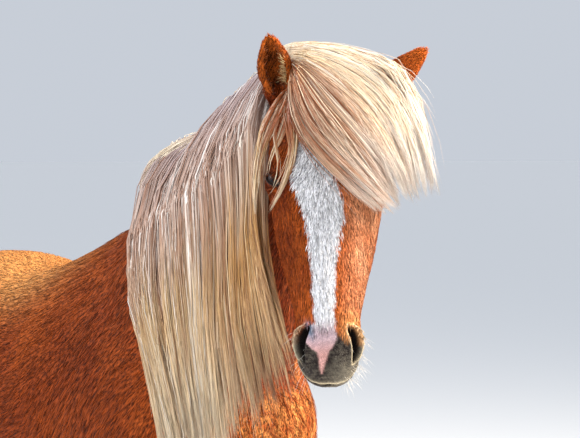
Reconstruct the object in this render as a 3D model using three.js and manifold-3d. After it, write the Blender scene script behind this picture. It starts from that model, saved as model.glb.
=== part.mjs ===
// Icelandic horse, life size, standing square with its neck and head turned to its right.
// Millimetres. +X points to the head end, +Y to the horse's left, +Z up. The tables put X = 0
// under the withers; the finished group is moved so that its origin is the middle of its footprint.

import * as THREE from 'three';
import { mergeVertices } from 'three/addons/utils/BufferGeometryUtils.js';
import Module from 'manifold-3d';

const wasm = await Module();
wasm.setup();

// Driving dimensions
const seam = 0.3;
const cutGrow = 0.45;
const weld = 0.002;
const foreCutHeight = 868;
const hindCutHeight = 905;
const kneeCutHeight = 398;
const hockCutHeight = 436;
const eyeRadius = 22;
const lidThickness = 4.5;

// Rings and stations, kept coarse
const torsoSides = 20;
const torsoStations = 19;
const neckSides = 20;
const neckStations = 11;
const headSpans = 2;
const headStations = 22;
const legSides = 10;
const tailSides = 8;

// Torso, from chest to buttock: x, top, bottom, half width, height of the widest line,
// power of the outline above that line, power below it
const torsoTable = [
  [470, 1075, 1000, 46, 1036, 2.0, 2.0],
  [450, 1130, 935, 108, 1030, 2.0, 2.0],
  [415, 1185, 878, 152, 1022, 2.0, 2.0],
  [360, 1240, 830, 184, 1020, 2.0, 2.0],
  [285, 1305, 790, 208, 1030, 1.9, 2.0],
  [190, 1365, 762, 218, 1042, 1.8, 2.1],
  [90, 1408, 748, 220, 1050, 1.6, 2.1],
  [0, 1424, 742, 224, 1050, 1.5, 2.1],
  [-110, 1378, 738, 244, 1042, 1.75, 2.1],
  [-230, 1334, 736, 262, 1030, 2.0, 2.1],
  [-350, 1311, 740, 273, 1025, 2.2, 2.1],
  [-470, 1313, 754, 275, 1030, 2.3, 2.1],
  [-580, 1328, 778, 266, 1050, 2.3, 2.1],
  [-690, 1328, 808, 252, 1070, 2.2, 2.1],
  [-790, 1310, 838, 242, 1080, 2.1, 2.1],
  [-880, 1274, 872, 224, 1080, 2.1, 2.0],
  [-960, 1224, 916, 190, 1070, 2.0, 2.0],
  [-1020, 1164, 966, 142, 1062, 2.0, 2.0],
  [-1062, 1098, 1024, 64, 1060, 2.0, 2.0],
];

// Neck, from inside the shoulder to inside the head: crest point, underline point, half width,
// turn of the section in degrees
const neckTable = [
  [-60, 0, 1396, 285, 0, 870, 180, 0],
  [20, 0, 1430, 390, 0, 978, 178, 0],
  [120, -3, 1492, 436, 0, 1082, 156, 0],
  [220, -9, 1538, 460, 2, 1172, 132, 3],
  [330, -16, 1583, 485, 5, 1260, 113, 7],
  [440, -23, 1628, 514, 9, 1338, 100, 12],
  [530, -28, 1665, 545, 14, 1400, 92, 17],
  [600, -32, 1691, 578, 20, 1446, 85, 22],
  [650, -36, 1704, 606, 24, 1484, 70, 26],
];
const neckWidest = -0.12;
const neckUpperPower = 1.65;
const neckLowerPower = 2.3;

// Head frame: the poll, the way from poll to lips, the way to the horse's left, and out of the face
const poll = new THREE.Vector3(668.6, -24.6, 1715.5);
const faceDown = new THREE.Vector3(0.393, -0.2865, -0.8738).normalize();
const faceLeft = new THREE.Vector3(0.5897, 0.8076, 0).normalize();
faceLeft.addScaledVector(faceDown, -faceLeft.dot(faceDown)).normalize();
const faceOut = new THREE.Vector3().crossVectors(faceDown, faceLeft).normalize();

// Head sections down the face: distance from the poll, depth of the upper midline, then pairs of
// half width and depth for its edge, the cheekbone, the cheek and the jaw, then the lower midline
const headTable = [
  [-30, -26, 38, -33, 54, -58, 54, -88, 36, -112, -120],
  [0, -2, 44, -10, 64, -42, 66, -86, 48, -132, -150],
  [45, 11, 52, 1, 77, -36, 78, -96, 58, -162, -182],
  [95, 19, 58, 9, 89, -32, 85, -102, 63, -184, -203],
  [140, 24, 63, 14, 97, -33, 89, -106, 66, -201, -215],
  [180, 26, 66, 15, 100, -38, 91, -110, 66, -206, -217],
  [215, 26, 64, 15, 98, -48, 92, -114, 62, -202, -209],
  [250, 24, 59, 13, 91, -56, 91, -114, 56, -189, -194],
  [290, 20, 52, 9, 82, -56, 86, -108, 51, -169, -172],
  [330, 16, 45, 6, 72, -50, 79, -96, 48, -147, -151],
  [370, 13, 39, 4, 63, -43, 70, -84, 44, -127, -132],
  [410, 10, 34, 2, 56, -37, 62, -72, 41, -111, -117],
  [450, 7, 30, -1, 51, -32, 55, -63, 39, -99, -106],
  [482, 3, 29, -4, 52, -28, 53, -62, 38, -93, -100],
  [508, -3, 30, -9, 54, -31, 51, -64, 38, -91, -98],
  [532, -12, 29, -18, 48, -39, 46, -66, 35, -89, -95],
  [550, -23, 24, -28, 39, -45, 38, -65, 30, -84, -89],
  [562, -36, 16, -39, 25, -50, 25, -63, 19, -75, -79],
  [568, -50, 6, -51, 9, -55, 9, -60, 7, -65, -67],
];

// Fore leg and hind leg: height, x, half length, y, half width
const foreTable = [
  [1100, 205, 112, 112, 62],
  [975, 160, 128, 124, 72],
  [885, 128, 120, 126, 71],
  [800, 106, 92, 122, 62],
  [720, 99, 70, 117, 51],
  [620, 99, 55, 114, 43],
  [520, 103, 44, 112, 38],
  [460, 105, 42, 112, 40],
  [415, 107, 43, 112, 43],
  [375, 103, 38, 112, 37],
  [325, 100, 31, 112, 28],
  [245, 98, 30, 112, 25],
  [190, 99, 31, 112, 26],
  [155, 101, 37, 113, 32],
  [125, 112, 31, 114, 29],
  [95, 124, 30, 115, 29],
  [60, 138, 37, 116, 37],
  [30, 148, 34, 117, 34],
];
const hindTable = [
  [1190, -800, 180, 98, 96],
  [1070, -820, 206, 116, 106],
  [955, -808, 198, 124, 101],
  [865, -795, 163, 129, 84],
  [785, -820, 118, 128, 68],
  [705, -853, 88, 122, 55],
  [625, -894, 68, 118, 45],
  [570, -925, 62, 116, 39],
  [540, -946, 64, 115, 38],
  [500, -952, 58, 115, 40],
  [455, -950, 47, 115, 38],
  [415, -952, 37, 115, 31],
  [345, -955, 31, 115, 25],
  [255, -957, 30, 115, 24],
  [200, -957, 32, 115, 26],
  [165, -955, 38, 115, 32],
  [130, -944, 33, 116, 30],
  [95, -932, 31, 117, 30],
  [60, -918, 37, 118, 37],
  [30, -908, 34, 118, 34],
];

// Small steps out of square, so that the stance is at ease
const strides = { front_left: -18, front_right: 22, hind_left: 58, hind_right: -12 };

// Hooves: half length and half width on the floor and at the coronet, and the slope of the toe
const hoof = { length: 62, width: 58, topLength: 43, topWidth: 42, toeSlope: 22, tilt: 0.42 };
const coronetHeight = 64;

// Materials
const materials = {
  coat: [0x8a4a22, 0.85],
  mane: [0xd9c19a, 0.8],
  eye: [0x1a120d, 0.15],
  hoof: [0x6b5d4b, 0.6],
};

// A seeded random source, so that every build is the same
function seededRandom(seed) {
  let state = seed;
  return () => {
    state = (state * 1664525 + 1013904223) % 4294967296;
    return state / 4294967296;
  };
}

function lerp(a, b, t) {
  return a + (b - a) * t;
}

// From back to front by way of a middle value reached at the given share
function throughMiddle(values, turn, share) {
  return share < turn
    ? lerp(values.back, values.middle, share / turn)
    : lerp(values.middle, values.front, (share - turn) / (1 - turn));
}

// Catmull-Rom through the rows of a table, at a place from 0 to the last row
function rowAt(table, place) {
  const last = table.length - 1;
  const i = Math.min(Math.floor(place), last - 1);
  const t = place - i;
  const before = table[Math.max(i - 1, 0)];
  const from = table[i];
  const to = table[i + 1];
  const after = table[Math.min(i + 2, last)];
  return from.map((value, k) => {
    const m0 = (to[k] - before[k]) / 2;
    const m1 = (after[k] - value) / 2;
    const t2 = t * t;
    const t3 = t2 * t;
    const ends = value * (2 * t3 - 3 * t2 + 1) + to[k] * (3 * t2 - 2 * t3);
    return ends + m0 * (t3 - 2 * t2 + t) + m1 * (t3 - t2);
  });
}

function rowsOf(table, stations) {
  const last = table.length - 1;
  return Array.from({ length: stations }, (_, k) => rowAt(table, (k * last) / (stations - 1)));
}

// One point of a superellipse whose widest line isn't at its middle: across and up, both -1 to 1
function eggPoint(angle, widest, upperPower, lowerPower) {
  const side = Math.sin(angle);
  const up = Math.cos(angle);
  const power = 2 / (up >= 0 ? upperPower : lowerPower);
  const across = Math.sign(side) * Math.abs(side) ** power;
  const rise = Math.abs(up) ** power;
  return [across, up >= 0 ? lerp(widest, 1, rise) : lerp(widest, -1, rise)];
}

// A closed surface through rings of equal count, with a fan over each end
function loft(rings) {
  const count = rings[0].length;
  const points = rings.flat();
  const index = [];
  for (let r = 0; r + 1 < rings.length; r += 1) {
    for (let k = 0; k < count; k += 1) {
      const a = r * count + k;
      const b = r * count + ((k + 1) % count);
      index.push(a, b, a + count, b, b + count, a + count);
    }
  }
  const middleOf = (ring) => ring.reduce((sum, p) => sum.add(p), new THREE.Vector3()).divideScalar(count);
  const first = points.length;
  const lastRing = (rings.length - 1) * count;
  points.push(middleOf(rings[0]), middleOf(rings[rings.length - 1]));
  for (let k = 0; k < count; k += 1) {
    const next = (k + 1) % count;
    index.push(first, next, k, first + 1, lastRing + k, lastRing + next);
  }
  const geometry = new THREE.BufferGeometry().setFromPoints(points);
  geometry.setIndex(index);
  return geometry;
}

// A three.js surface as a solid, turned the right way out
function solidOf(geometry, tolerance = 1e-4) {
  const plain = geometry.clone();
  plain.deleteAttribute('normal');
  plain.deleteAttribute('uv');
  const merged = mergeVertices(plain, tolerance);
  const vertices = merged.getAttribute('position').array;
  const triangles = Array.from(merged.index.array);
  let volume = 0;
  const corner = (k) => new THREE.Vector3().fromArray(vertices, triangles[k] * 3);
  for (let k = 0; k < triangles.length; k += 3) {
    volume += corner(k).dot(corner(k + 1).cross(corner(k + 2)));
  }
  if (volume < 0) {
    triangles.reverse();
  }
  const vertProperties = Float32Array.from(vertices);
  const triVerts = Uint32Array.from(triangles);
  return new wasm.Manifold(new wasm.Mesh({ numProp: 3, vertProperties, triVerts }));
}

function joined(solids) {
  return solids.reduce((sum, solid) => sum.add(solid));
}

function geometryOf(solid) {
  const mesh = solid.getMesh();
  const geometry = new THREE.BufferGeometry();
  geometry.setAttribute('position', new THREE.BufferAttribute(mesh.vertProperties, 3));
  geometry.setIndex(new THREE.BufferAttribute(mesh.triVerts, 1));
  return geometry;
}

// The largest closed surface of a solid, once points closer than the tolerance are one
function largest(solid) {
  const clean = solidOf(geometryOf(solid), weld);
  return clean.decompose().reduce((best, piece) => (piece.volume() > best.volume() ? piece : best));
}

// A plane as a unit normal and its distance, for trimming
function planeThrough(point, normal) {
  const unit = normal.clone().normalize();
  return { normal: unit.toArray(), distance: unit.dot(point), back: unit.clone().negate().toArray() };
}

function ahead(solid, plane, gap = 0) {
  return solid.trimByPlane(plane.normal, plane.distance + gap);
}

function behind(solid, plane, gap = 0) {
  return solid.trimByPlane(plane.back, -plane.distance + gap);
}

// Torso
function torsoRing(row, grow) {
  const [x, top, bottom, halfWidth, widest, upperPower, lowerPower] = row;
  const middle = (top + bottom) / 2;
  const half = (top - bottom) / 2;
  return Array.from({ length: torsoSides }, (_, k) => {
    const angle = (k * 2 * Math.PI) / torsoSides;
    const [across, up] = eggPoint(angle, (widest - middle) / half, upperPower, lowerPower);
    return new THREE.Vector3(x, across * (halfWidth + grow), middle + up * (half + grow));
  });
}

function torsoBody(grow = 0) {
  const rows = rowsOf(torsoTable, torsoStations);
  rows[0][0] += grow;
  rows[rows.length - 1][0] -= grow;
  return solidOf(loft(rows.map((row) => torsoRing(row, grow))));
}

// Neck
function neckRing(row, grow) {
  const [crestX, crestY, crestZ, underX, underY, underZ, halfWidth, turn] = row;
  const crest = new THREE.Vector3(crestX, crestY, crestZ);
  const under = new THREE.Vector3(underX, underY, underZ);
  const middle = crest.clone().add(under).divideScalar(2);
  const up = crest.clone().sub(under).normalize();
  const half = crest.distanceTo(under) / 2;
  const yaw = THREE.MathUtils.degToRad(turn);
  const side = new THREE.Vector3(Math.sin(yaw), Math.cos(yaw), 0);
  return Array.from({ length: neckSides }, (_, k) => {
    const angle = (k * 2 * Math.PI) / neckSides;
    const [across, rise] = eggPoint(angle, neckWidest, neckUpperPower, neckLowerPower);
    const aside = middle.clone().addScaledVector(side, across * (halfWidth + grow));
    return aside.addScaledVector(up, rise * (half + grow));
  });
}

function neckBody(grow = 0) {
  return solidOf(loft(rowsOf(neckTable, neckStations).map((row) => neckRing(row, grow))));
}

function crestPoint(share) {
  const row = rowAt(neckTable, share * (neckTable.length - 1));
  return new THREE.Vector3(row[0], row[1], row[2]);
}

// Head
function facePoint(down, left, out) {
  const onMidline = poll.clone().addScaledVector(faceDown, down).addScaledVector(faceOut, out);
  return onMidline.addScaledVector(faceLeft, left);
}

function headRing(row, grow) {
  const [down, upper, w1, t1, w2, t2, w3, t3, w4, t4, lower] = row;
  const half = [[w1, t1], [w2, t2], [w3, t3], [w4, t4]];
  const section = [[0, upper], ...half, [0, lower], ...half.reverse().map(([w, t]) => [-w, t])];
  const middle = (upper + lower) / 2;
  const corners = section.map(([w, t]) => {
    const away = new THREE.Vector2(w, t - middle);
    away.setLength(away.length() + grow);
    return new THREE.Vector3(away.x, middle + away.y, 0);
  });
  const curve = new THREE.CatmullRomCurve3(corners, true, 'centripetal');
  const count = corners.length * headSpans;
  return Array.from({ length: count }, (_, k) => {
    const p = curve.getPoint(k / count);
    return facePoint(down, p.x, p.y);
  });
}

function headBody(grow = 0) {
  const rows = rowsOf(headTable, headStations);
  rows[0][0] -= grow;
  rows[rows.length - 1][0] += grow;
  return solidOf(loft(rows.map((row) => headRing(row, grow))));
}

// A ball stretched along three directions of the head, set at a place on it
function headBall(place, axes, sizes, around = 12, rows = 8) {
  const ball = new THREE.SphereGeometry(1, around, rows);
  const basis = new THREE.Matrix4().makeBasis(...axes);
  ball.applyMatrix4(new THREE.Matrix4().makeScale(...sizes)).applyMatrix4(basis);
  ball.translate(place.x, place.y, place.z);
  return solidOf(ball);
}

// Three directions at right angles: the first is the given one, the second lies nearest the hint
function axesFrom(first, hint) {
  const a = first.clone().normalize();
  const b = hint.clone().addScaledVector(a, -hint.dot(a)).normalize();
  return [a, b, new THREE.Vector3().crossVectors(a, b)];
}

function headDirection(down, left, out) {
  return new THREE.Vector3().addScaledVector(faceDown, down).addScaledVector(faceLeft, left)
    .addScaledVector(faceOut, out).normalize();
}

function eyeCentre(side) {
  return facePoint(201, side * 79, -50);
}

function eyeAxes(side) {
  return axesFrom(headDirection(0.05, side * 0.9, 0.42), headDirection(0.86, side * -0.2, -0.35));
}

function eyeBall(side, grow = 0) {
  const round = eyeRadius + grow;
  return headBall(eyeCentre(side), eyeAxes(side), [round, round, round]);
}

function lidBall(side, grow = 0) {
  const round = eyeRadius + lidThickness + grow;
  return headBall(eyeCentre(side), eyeAxes(side), [round, round * 1.12, round], 10, 7);
}

// The eyeball and the slit between the lids, both cut from the head
function eyeOpening(side) {
  const axes = eyeAxes(side);
  const slit = headBall(eyeCentre(side).addScaledVector(axes[0], 24), axes, [22, 19, 10.5], 8, 6);
  return eyeBall(side, cutGrow).add(slit);
}

// Nostril: a raised rim and the pocket inside it
function nostrilParts(side) {
  const centre = facePoint(500, side * 45, -21);
  const look = headDirection(0.28, side * 0.72, 0.62);
  const along = headDirection(0.93, side * 0.22, -0.3);
  const axes = axesFrom(look, along);
  const rim = new THREE.TorusGeometry(1, 0.24, 4, 10);
  rim.scale(25, 13, 16);
  const place = new THREE.Matrix4().makeBasis(axes[1], axes[2], axes[0]);
  rim.applyMatrix4(place);
  rim.translate(centre.x, centre.y, centre.z);
  const inside = centre.clone().addScaledVector(look, -4);
  return { rim: solidOf(rim), pocket: headBall(inside, axes, [24, 22, 9], 8, 6) };
}

// Line of the mouth: a thin strip cut round the muzzle, as deep as the lips are thick
const mouthLine = [[445, 55, -78], [505, 50, -71], [546, 38, -65], [568, 0, -59]];
const lipDepth = 9;
const mouthGape = 1.6;

function mouthCut() {
  const half = mouthLine.map(([down, left, out]) => new THREE.Vector3(down, left, out));
  const line = [...half, ...half.slice(0, -1).reverse().map((p) => new THREE.Vector3(p.x, -p.y, p.z))];
  const rings = line.map((p, k) => {
    const next = line[Math.min(k + 1, line.length - 1)];
    const last = line[Math.max(k - 1, 0)];
    const along = next.clone().sub(last).setZ(0).normalize();
    const away = new THREE.Vector3(along.y, -along.x, 0);
    if (away.dot(new THREE.Vector3(p.x - 440, p.y, 0)) < 0) {
      away.negate();
    }
    const open = k === 0 || k === line.length - 1 ? mouthGape / 4 : mouthGape;
    return [[-lipDepth, -open], [14, -open], [14, open], [-lipDepth, open]]
      .map(([reach, rise]) => facePoint(p.x + away.x * reach, p.y + away.y * reach, p.z + rise));
  });
  return solidOf(loft(rings));
}

function headFlesh() {
  const nostrils = [-1, 1].map(nostrilParts);
  const chin = headBall(facePoint(527, 0, -84), [faceDown, faceLeft, faceOut], [27, 31, 17], 10, 6);
  const raised = [headBody(), chin, lidBall(-1), lidBall(1), ...nostrils.map((nostril) => nostril.rim)];
  const cuts = [mouthCut(), eyeOpening(-1), eyeOpening(1), ...nostrils.map((nostril) => nostril.pocket)];
  return cuts.reduce((head, cut) => head.subtract(cut), joined(raised));
}

// Ears: a leaf-shaped cup on its axis, open towards one side
const earTable = [
  [-0.22, 16, 16],
  [0.0, 21, 20],
  [0.2, 26, 22],
  [0.42, 29, 20],
  [0.62, 26, 15],
  [0.8, 18, 10],
  [0.93, 9, 6],
  [1.0, 2, 2],
];
const ears = {
  right: { base: [48, -79, -30], tip: [656, -136, 1760], opens: [0.81, -0.58, 0.05] },
  left: { base: [58, 73, -30], tip: [777, 108, 1741], opens: [-0.45, 0.62, -0.5] },
};
const earWall = 3.2;

function earFrame(ear) {
  const base = facePoint(...ear.base);
  const axis = new THREE.Vector3(...ear.tip).sub(base);
  const [up, open, across] = axesFrom(axis, new THREE.Vector3(...ear.opens));
  return { base, length: axis.length(), up, open, across };
}

function earRings(ear, rows, sides, widthOf, depthOf, shift) {
  const { base, length, up, open, across } = earFrame(ear);
  return rows.map((row) => Array.from({ length: sides }, (_, k) => {
    const angle = (k * 2 * Math.PI) / sides;
    return base.clone().addScaledVector(up, row[0] * length)
      .addScaledVector(across, Math.sin(angle) * widthOf(row))
      .addScaledVector(open, Math.cos(angle) * depthOf(row) + shift(row));
  }));
}

function earOuter(ear, grow = 0) {
  const rings = earRings(ear, earTable, 12, (row) => row[1] + grow, (row) => row[2] + grow, () => 0);
  return solidOf(loft(rings));
}

function earShape(ear) {
  const cupRows = earTable.slice(2, 7);
  const cupWidth = (row) => row[1] - earWall;
  const cupDepth = (row) => row[2] * 0.95;
  const cupShift = (row) => row[2] * 0.62;
  const cup = earRings(ear, cupRows, 10, cupWidth, cupDepth, cupShift);
  return earOuter(ear).subtract(solidOf(loft(cup)));
}

// Legs
function legRows(kind, side) {
  const name = `${kind}_${side > 0 ? 'left' : 'right'}`;
  const table = kind === 'front' ? foreTable : hindTable;
  const top = table[0][0];
  return table.map(([z, x, length, y, width]) => {
    const step = strides[name] * (1 - z / top);
    return [z, x + step, length, y * side, width];
  });
}

// A point round one row of a leg, outside its surface by the given amount
function legPoint([z, x, length, y, width], angle, grow) {
  return new THREE.Vector3(x + Math.cos(angle) * (length + grow), y + Math.sin(angle) * (width + grow), z);
}

function legBody(kind, side, grow = 0) {
  const rings = legRows(kind, side).map((row) => (
    Array.from({ length: legSides }, (_, k) => legPoint(row, (k * 2 * Math.PI) / legSides, grow))
  ));
  return solidOf(loft(rings));
}

// The coronet slopes down from the toe to the heel
function coronetPlane(kind, side) {
  const rows = legRows(kind, side);
  const [, x, , y] = rows[rows.length - 2];
  return planeThrough(new THREE.Vector3(x, y, coronetHeight), new THREE.Vector3(-hoof.tilt, 0, 1));
}

function hoofBody(kind, side) {
  const rows = legRows(kind, side);
  const [, x, , y] = rows[rows.length - 2];
  const heights = [0, 12, 60, 100];
  const rings = heights.map((z) => {
    const share = z / 75;
    return Array.from({ length: 16 }, (_, k) => {
      const angle = (k * 2 * Math.PI) / 16;
      const length = lerp(hoof.length, hoof.topLength, share);
      const width = lerp(hoof.width, hoof.topWidth, share);
      const heel = Math.cos(angle) < 0 ? 0.86 : 1;
      return new THREE.Vector3(
        x + lerp(hoof.toeSlope, 0, share) + Math.cos(angle) * length * heel,
        y + Math.sin(angle) * width,
        z,
      );
    });
  });
  return behind(solidOf(loft(rings)), coronetPlane(kind, side), seam / 2);
}

// A flat tapered lock along a path. Each place has its width, its thickness and either the
// direction across the lock or the one out of its flat side.
function lock(path, grow = 0) {
  const rings = path.slice(0, -1).map((here, k) => {
    const next = path[k + 1].at;
    const last = path[Math.max(k - 1, 0)].at;
    const along = next.clone().sub(last).normalize();
    const side = (here.across || new THREE.Vector3().crossVectors(along, here.out)).clone().normalize();
    const out = new THREE.Vector3().crossVectors(side, along).normalize();
    const half = here.width / 2 + grow;
    const thick = here.thick / 2 + grow;
    return [
      here.at.clone().addScaledVector(side, half),
      here.at.clone().addScaledVector(out, thick),
      here.at.clone().addScaledVector(side, -half),
      here.at.clone().addScaledVector(out, -thick),
    ];
  });
  const tip = path[path.length - 1].at.clone();
  tip.addScaledVector(tip.clone().sub(path[path.length - 2].at).normalize(), grow * 12);
  const count = 4;
  const points = [...rings.flat(), tip];
  const index = [];
  for (let r = 0; r + 1 < rings.length; r += 1) {
    for (let k = 0; k < count; k += 1) {
      const a = r * count + k;
      const b = r * count + ((k + 1) % count);
      index.push(a, b, a + count, b, b + count, a + count);
    }
  }
  const lastRing = (rings.length - 1) * count;
  for (let k = 0; k < count; k += 1) {
    index.push(lastRing + k, lastRing + ((k + 1) % count), points.length - 1);
  }
  index.push(0, 3, 1, 3, 2, 1);
  const geometry = new THREE.BufferGeometry().setFromPoints(points);
  geometry.setIndex(index);
  return solidOf(geometry);
}

// How far the body reaches to one side at a place seen from that side
function sideReach(target, x, z, side) {
  const ray = new THREE.Raycaster(new THREE.Vector3(x, side * 900, z), new THREE.Vector3(0, -side, 0));
  const hits = ray.intersectObject(target);
  return hits.length ? Math.max(0, hits[0].point.y * side) : 0;
}

function rayTarget(solid) {
  return new THREE.Mesh(geometryOf(solid), new THREE.MeshBasicMaterial({ side: THREE.DoubleSide }));
}

// Mane: layers of locks from the crest to the horse's right, and shorter ones arched to its left.
// Each layer has its roots a little further over the crest, arches higher and lies further out.
const maneLayers = [
  { count: 11, root: [32, -58], arch: [56, -28], lift: 12, width: 60, thick: 9, steps: 4, reach: 0.93 },
  { count: 11, root: [14, -32], arch: [34, 16], lift: 30, width: 60, thick: 9, steps: 5, reach: 1 },
  { count: 8, root: [-6, -24], arch: [8, 48], lift: 48, width: 62, thick: 9, steps: 5, reach: 0.95 },
];
const maneFirst = 0.262;
const maneLast = 0.95;
const maneLength = { back: 520, middle: 640, front: 490 };
const maneSweep = { back: 0.62, front: 0.1 };
const flop = {
  count: 9,
  first: 0.12,
  last: 0.8,
  width: 98,
  thick: 15,
  tilt: 0.09,
  steps: 3,
  arch: { back: 94, middle: 78, front: 76 },
  lean: { back: 44, front: 14 },
  over: { back: -8, front: 18 },
};
const shingle = 0.2;
const crestSlope = { run: 0.93, rise: 0.37 };

function manePath(target, share, layer, order, random) {
  const root = crestPoint(lerp(maneFirst, maneLast, share));
  const length = throughMiddle(maneLength, 0.45, share) * layer.reach * (0.93 + 0.1 * random());
  const sweep = lerp(maneSweep.back, maneSweep.front, share ** 0.8);
  const shift = (random() - 0.5) * 8;
  const over = ([side, rise], width) => ({
    at: root.clone().add(new THREE.Vector3(0, -side, rise)),
    out: new THREE.Vector3(shingle, -0.6, 0.8),
    width: layer.width * width,
    thick: layer.thick,
  });
  const path = [over(layer.root, 0.42), over(layer.arch, 0.62)];
  let reach = Math.abs(root.y) + layer.arch[0];
  for (let k = 1; k <= layer.steps; k += 1) {
    const t = k / layer.steps;
    const fall = t * length;
    const wave = Math.sin(share * 5 + order * 2 + t * 7) * 8 * t;
    const x = root.x + fall * sweep * (1 - 0.08 * t) + wave + shift * t;
    const z = root.z + layer.arch[1] - fall;
    reach = Math.max(reach * 0.985, sideReach(target, x, z, -1) + layer.lift, 30 + layer.lift);
    path.push({
      at: new THREE.Vector3(x, -reach, z),
      out: new THREE.Vector3(shingle, -1, 0.1),
      width: layer.width * lerp(0.92, 0.6, t),
      thick: layer.thick * (1 - 0.4 * t),
    });
  }
  return path;
}

function flopPath(target, share, random) {
  const root = crestPoint(lerp(flop.first, flop.last, share));
  const arch = throughMiddle(flop.arch, 0.4, share);
  const lean = lerp(flop.lean.back, flop.lean.front, Math.sqrt(share));
  const over = lerp(flop.over.back, flop.over.front, Math.sqrt(share));
  const length = lerp(150, 210, random());
  const alongCrest = new THREE.Vector3(crestSlope.run, 0, crestSlope.rise);
  const tilted = (y, z) => alongCrest.clone().add(new THREE.Vector3(0, y, z).multiplyScalar(flop.tilt));
  const place = (x, side, rise, width, across) => ({
    at: root.clone().add(new THREE.Vector3(x, side, rise)),
    across,
    width: flop.width * width,
    thick: flop.thick,
  });
  const path = [
    place(0, 22, -30, 0.4, tilted(-1, 0)),
    place(-0.4 * lean, 12, arch * 0.66, 0.75, tilted(-1, 0)),
    place(-lean, over, arch, 0.95, tilted(0, 1)),
  ];
  for (let k = 1; k <= flop.steps; k += 1) {
    const t = k / flop.steps;
    const x = root.x - lean + (random() - 0.6) * 10 * t - 14 * t;
    const z = root.z + arch * 0.9 - length * t;
    const reach = Math.max(sideReach(target, x, z, 1) + 12, root.y + over + 44 - 6 * t);
    path.push({
      at: new THREE.Vector3(x, reach, z),
      across: tilted(1, 0),
      width: flop.width * lerp(0.95, 0.5, t),
      thick: flop.thick * (1 - 0.4 * t),
    });
  }
  return path;
}

function maneLocks(target) {
  const random = seededRandom(8);
  const paths = maneLayers.flatMap((layer, order) => Array.from({ length: layer.count }, (_, k) => (
    manePath(target, (k + 0.2 + 0.3 * order) / layer.count, layer, order, random)
  )));
  for (let k = 0; k < flop.count; k += 1) {
    paths.push(flopPath(target, k / (flop.count - 1), random));
  }
  return paths;
}

// Forelock: from between the ears, swept over the horse's left eye. The innermost and outermost
// lines are rows of distance down the face, to the horse's left and out; the rest lie between them.
const forelockInner = [
  [42, -32, -12],
  [62, -38, 30],
  [105, -41, 40],
  [155, -35, 44],
  [212, -6, 42],
  [272, 34, 38],
  [338, 96, 2],
];
const forelockOuter = [
  [-20, -34, -18],
  [-26, -8, 12],
  [-16, 44, 16],
  [18, 102, 8],
  [82, 152, -2],
  [176, 192, -26],
  [312, 200, -64],
];
const forelockLayers = [
  { count: 6, rise: 0, width: 42, thick: 9, reach: 1 },
  { count: 6, rise: 11, width: 42, thick: 9, reach: 0.94 },
  { count: 4, rise: 22, width: 40, thick: 8, reach: 0.86 },
];
const forelockWidths = [0.3, 0.5, 0.78, 1, 1, 0.72, 0];

// A few narrow locks on the other side of the parting, down over the right eye
const eyeStrand = {
  count: 3,
  width: 17,
  thick: 7,
  fan: 14,
  lift: 14,
  line: [[40, -38, -10], [66, -50, 34], [120, -63, 20], [180, -76, -4], [232, -86, -16]],
};

function faceReach(target, down, left) {
  const from = facePoint(down, left, 400);
  const hits = new THREE.Raycaster(from, faceOut.clone().negate()).intersectObject(target);
  return hits.length ? 400 - hits[0].distance : -220;
}

function forelockPath(target, share, layer, random) {
  const steps = forelockInner.length - 1;
  const reach = steps * layer.reach * (0.94 + 0.06 * random());
  return Array.from({ length: steps + 1 }, (_, k) => {
    const t = k / steps;
    const inner = rowAt(forelockInner, t * reach);
    const outer = rowAt(forelockOuter, t * reach);
    const [down, left, out] = inner.map((value, i) => lerp(value, outer[i], share));
    const skin = faceReach(target, down, left);
    const lifted = k === 0 ? out : Math.max(out + layer.rise, skin + 9 + layer.rise);
    const across = facePoint(...outer).sub(facePoint(...inner)).normalize();
    return {
      at: facePoint(down - (k === 0 ? layer.rise * 1.3 : 0), left, lifted),
      across: across.addScaledVector(faceOut, shingle),
      width: layer.width * forelockWidths[k],
      thick: layer.thick * (1 - 0.3 * t),
    };
  });
}

function eyeStrandPath(target, share) {
  return eyeStrand.line.map(([down, left, out], k) => {
    const t = k / (eyeStrand.line.length - 1);
    const place = [down + (share - 0.5) * 2 * eyeStrand.fan * t, left - eyeStrand.fan * share];
    const skin = faceReach(target, ...place) + eyeStrand.lift;
    return {
      at: facePoint(...place, k === 0 ? out : Math.max(out, skin)),
      out: faceOut.clone().addScaledVector(faceLeft, -0.4),
      width: eyeStrand.width * lerp(0.9, 0.6, t),
      thick: eyeStrand.thick,
    };
  });
}

function forelockLocks(target) {
  const random = seededRandom(23);
  const paths = forelockLayers.flatMap((layer, order) => Array.from({ length: layer.count }, (_, k) => (
    forelockPath(target, Math.min(1, (k + 0.3 * order) / (layer.count - 0.5)), layer, random)
  )));
  for (let k = 0; k < eyeStrand.count; k += 1) {
    paths.push(eyeStrandPath(target, k / (eyeStrand.count - 1)));
  }
  return paths;
}

// Tail: a short dock and locks all round it, straight down behind the legs
const dockTable = [
  [-968, 1176, 40],
  [-1028, 1166, 42],
  [-1082, 1128, 38],
  [-1114, 1062, 33],
  [-1130, 980, 27],
  [-1140, 890, 17],
];
const tailRings = [
  { count: 7, from: 3.1, arc: 360, spread: 38, depth: 28, width: 44, thick: 13, tip: 215 },
  { count: 12, from: 1.5, arc: 262, spread: 86, depth: 60, width: 54, thick: 13, tip: 300 },
];
const tailMiddle = -1152;
const tailSteps = 5;

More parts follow.
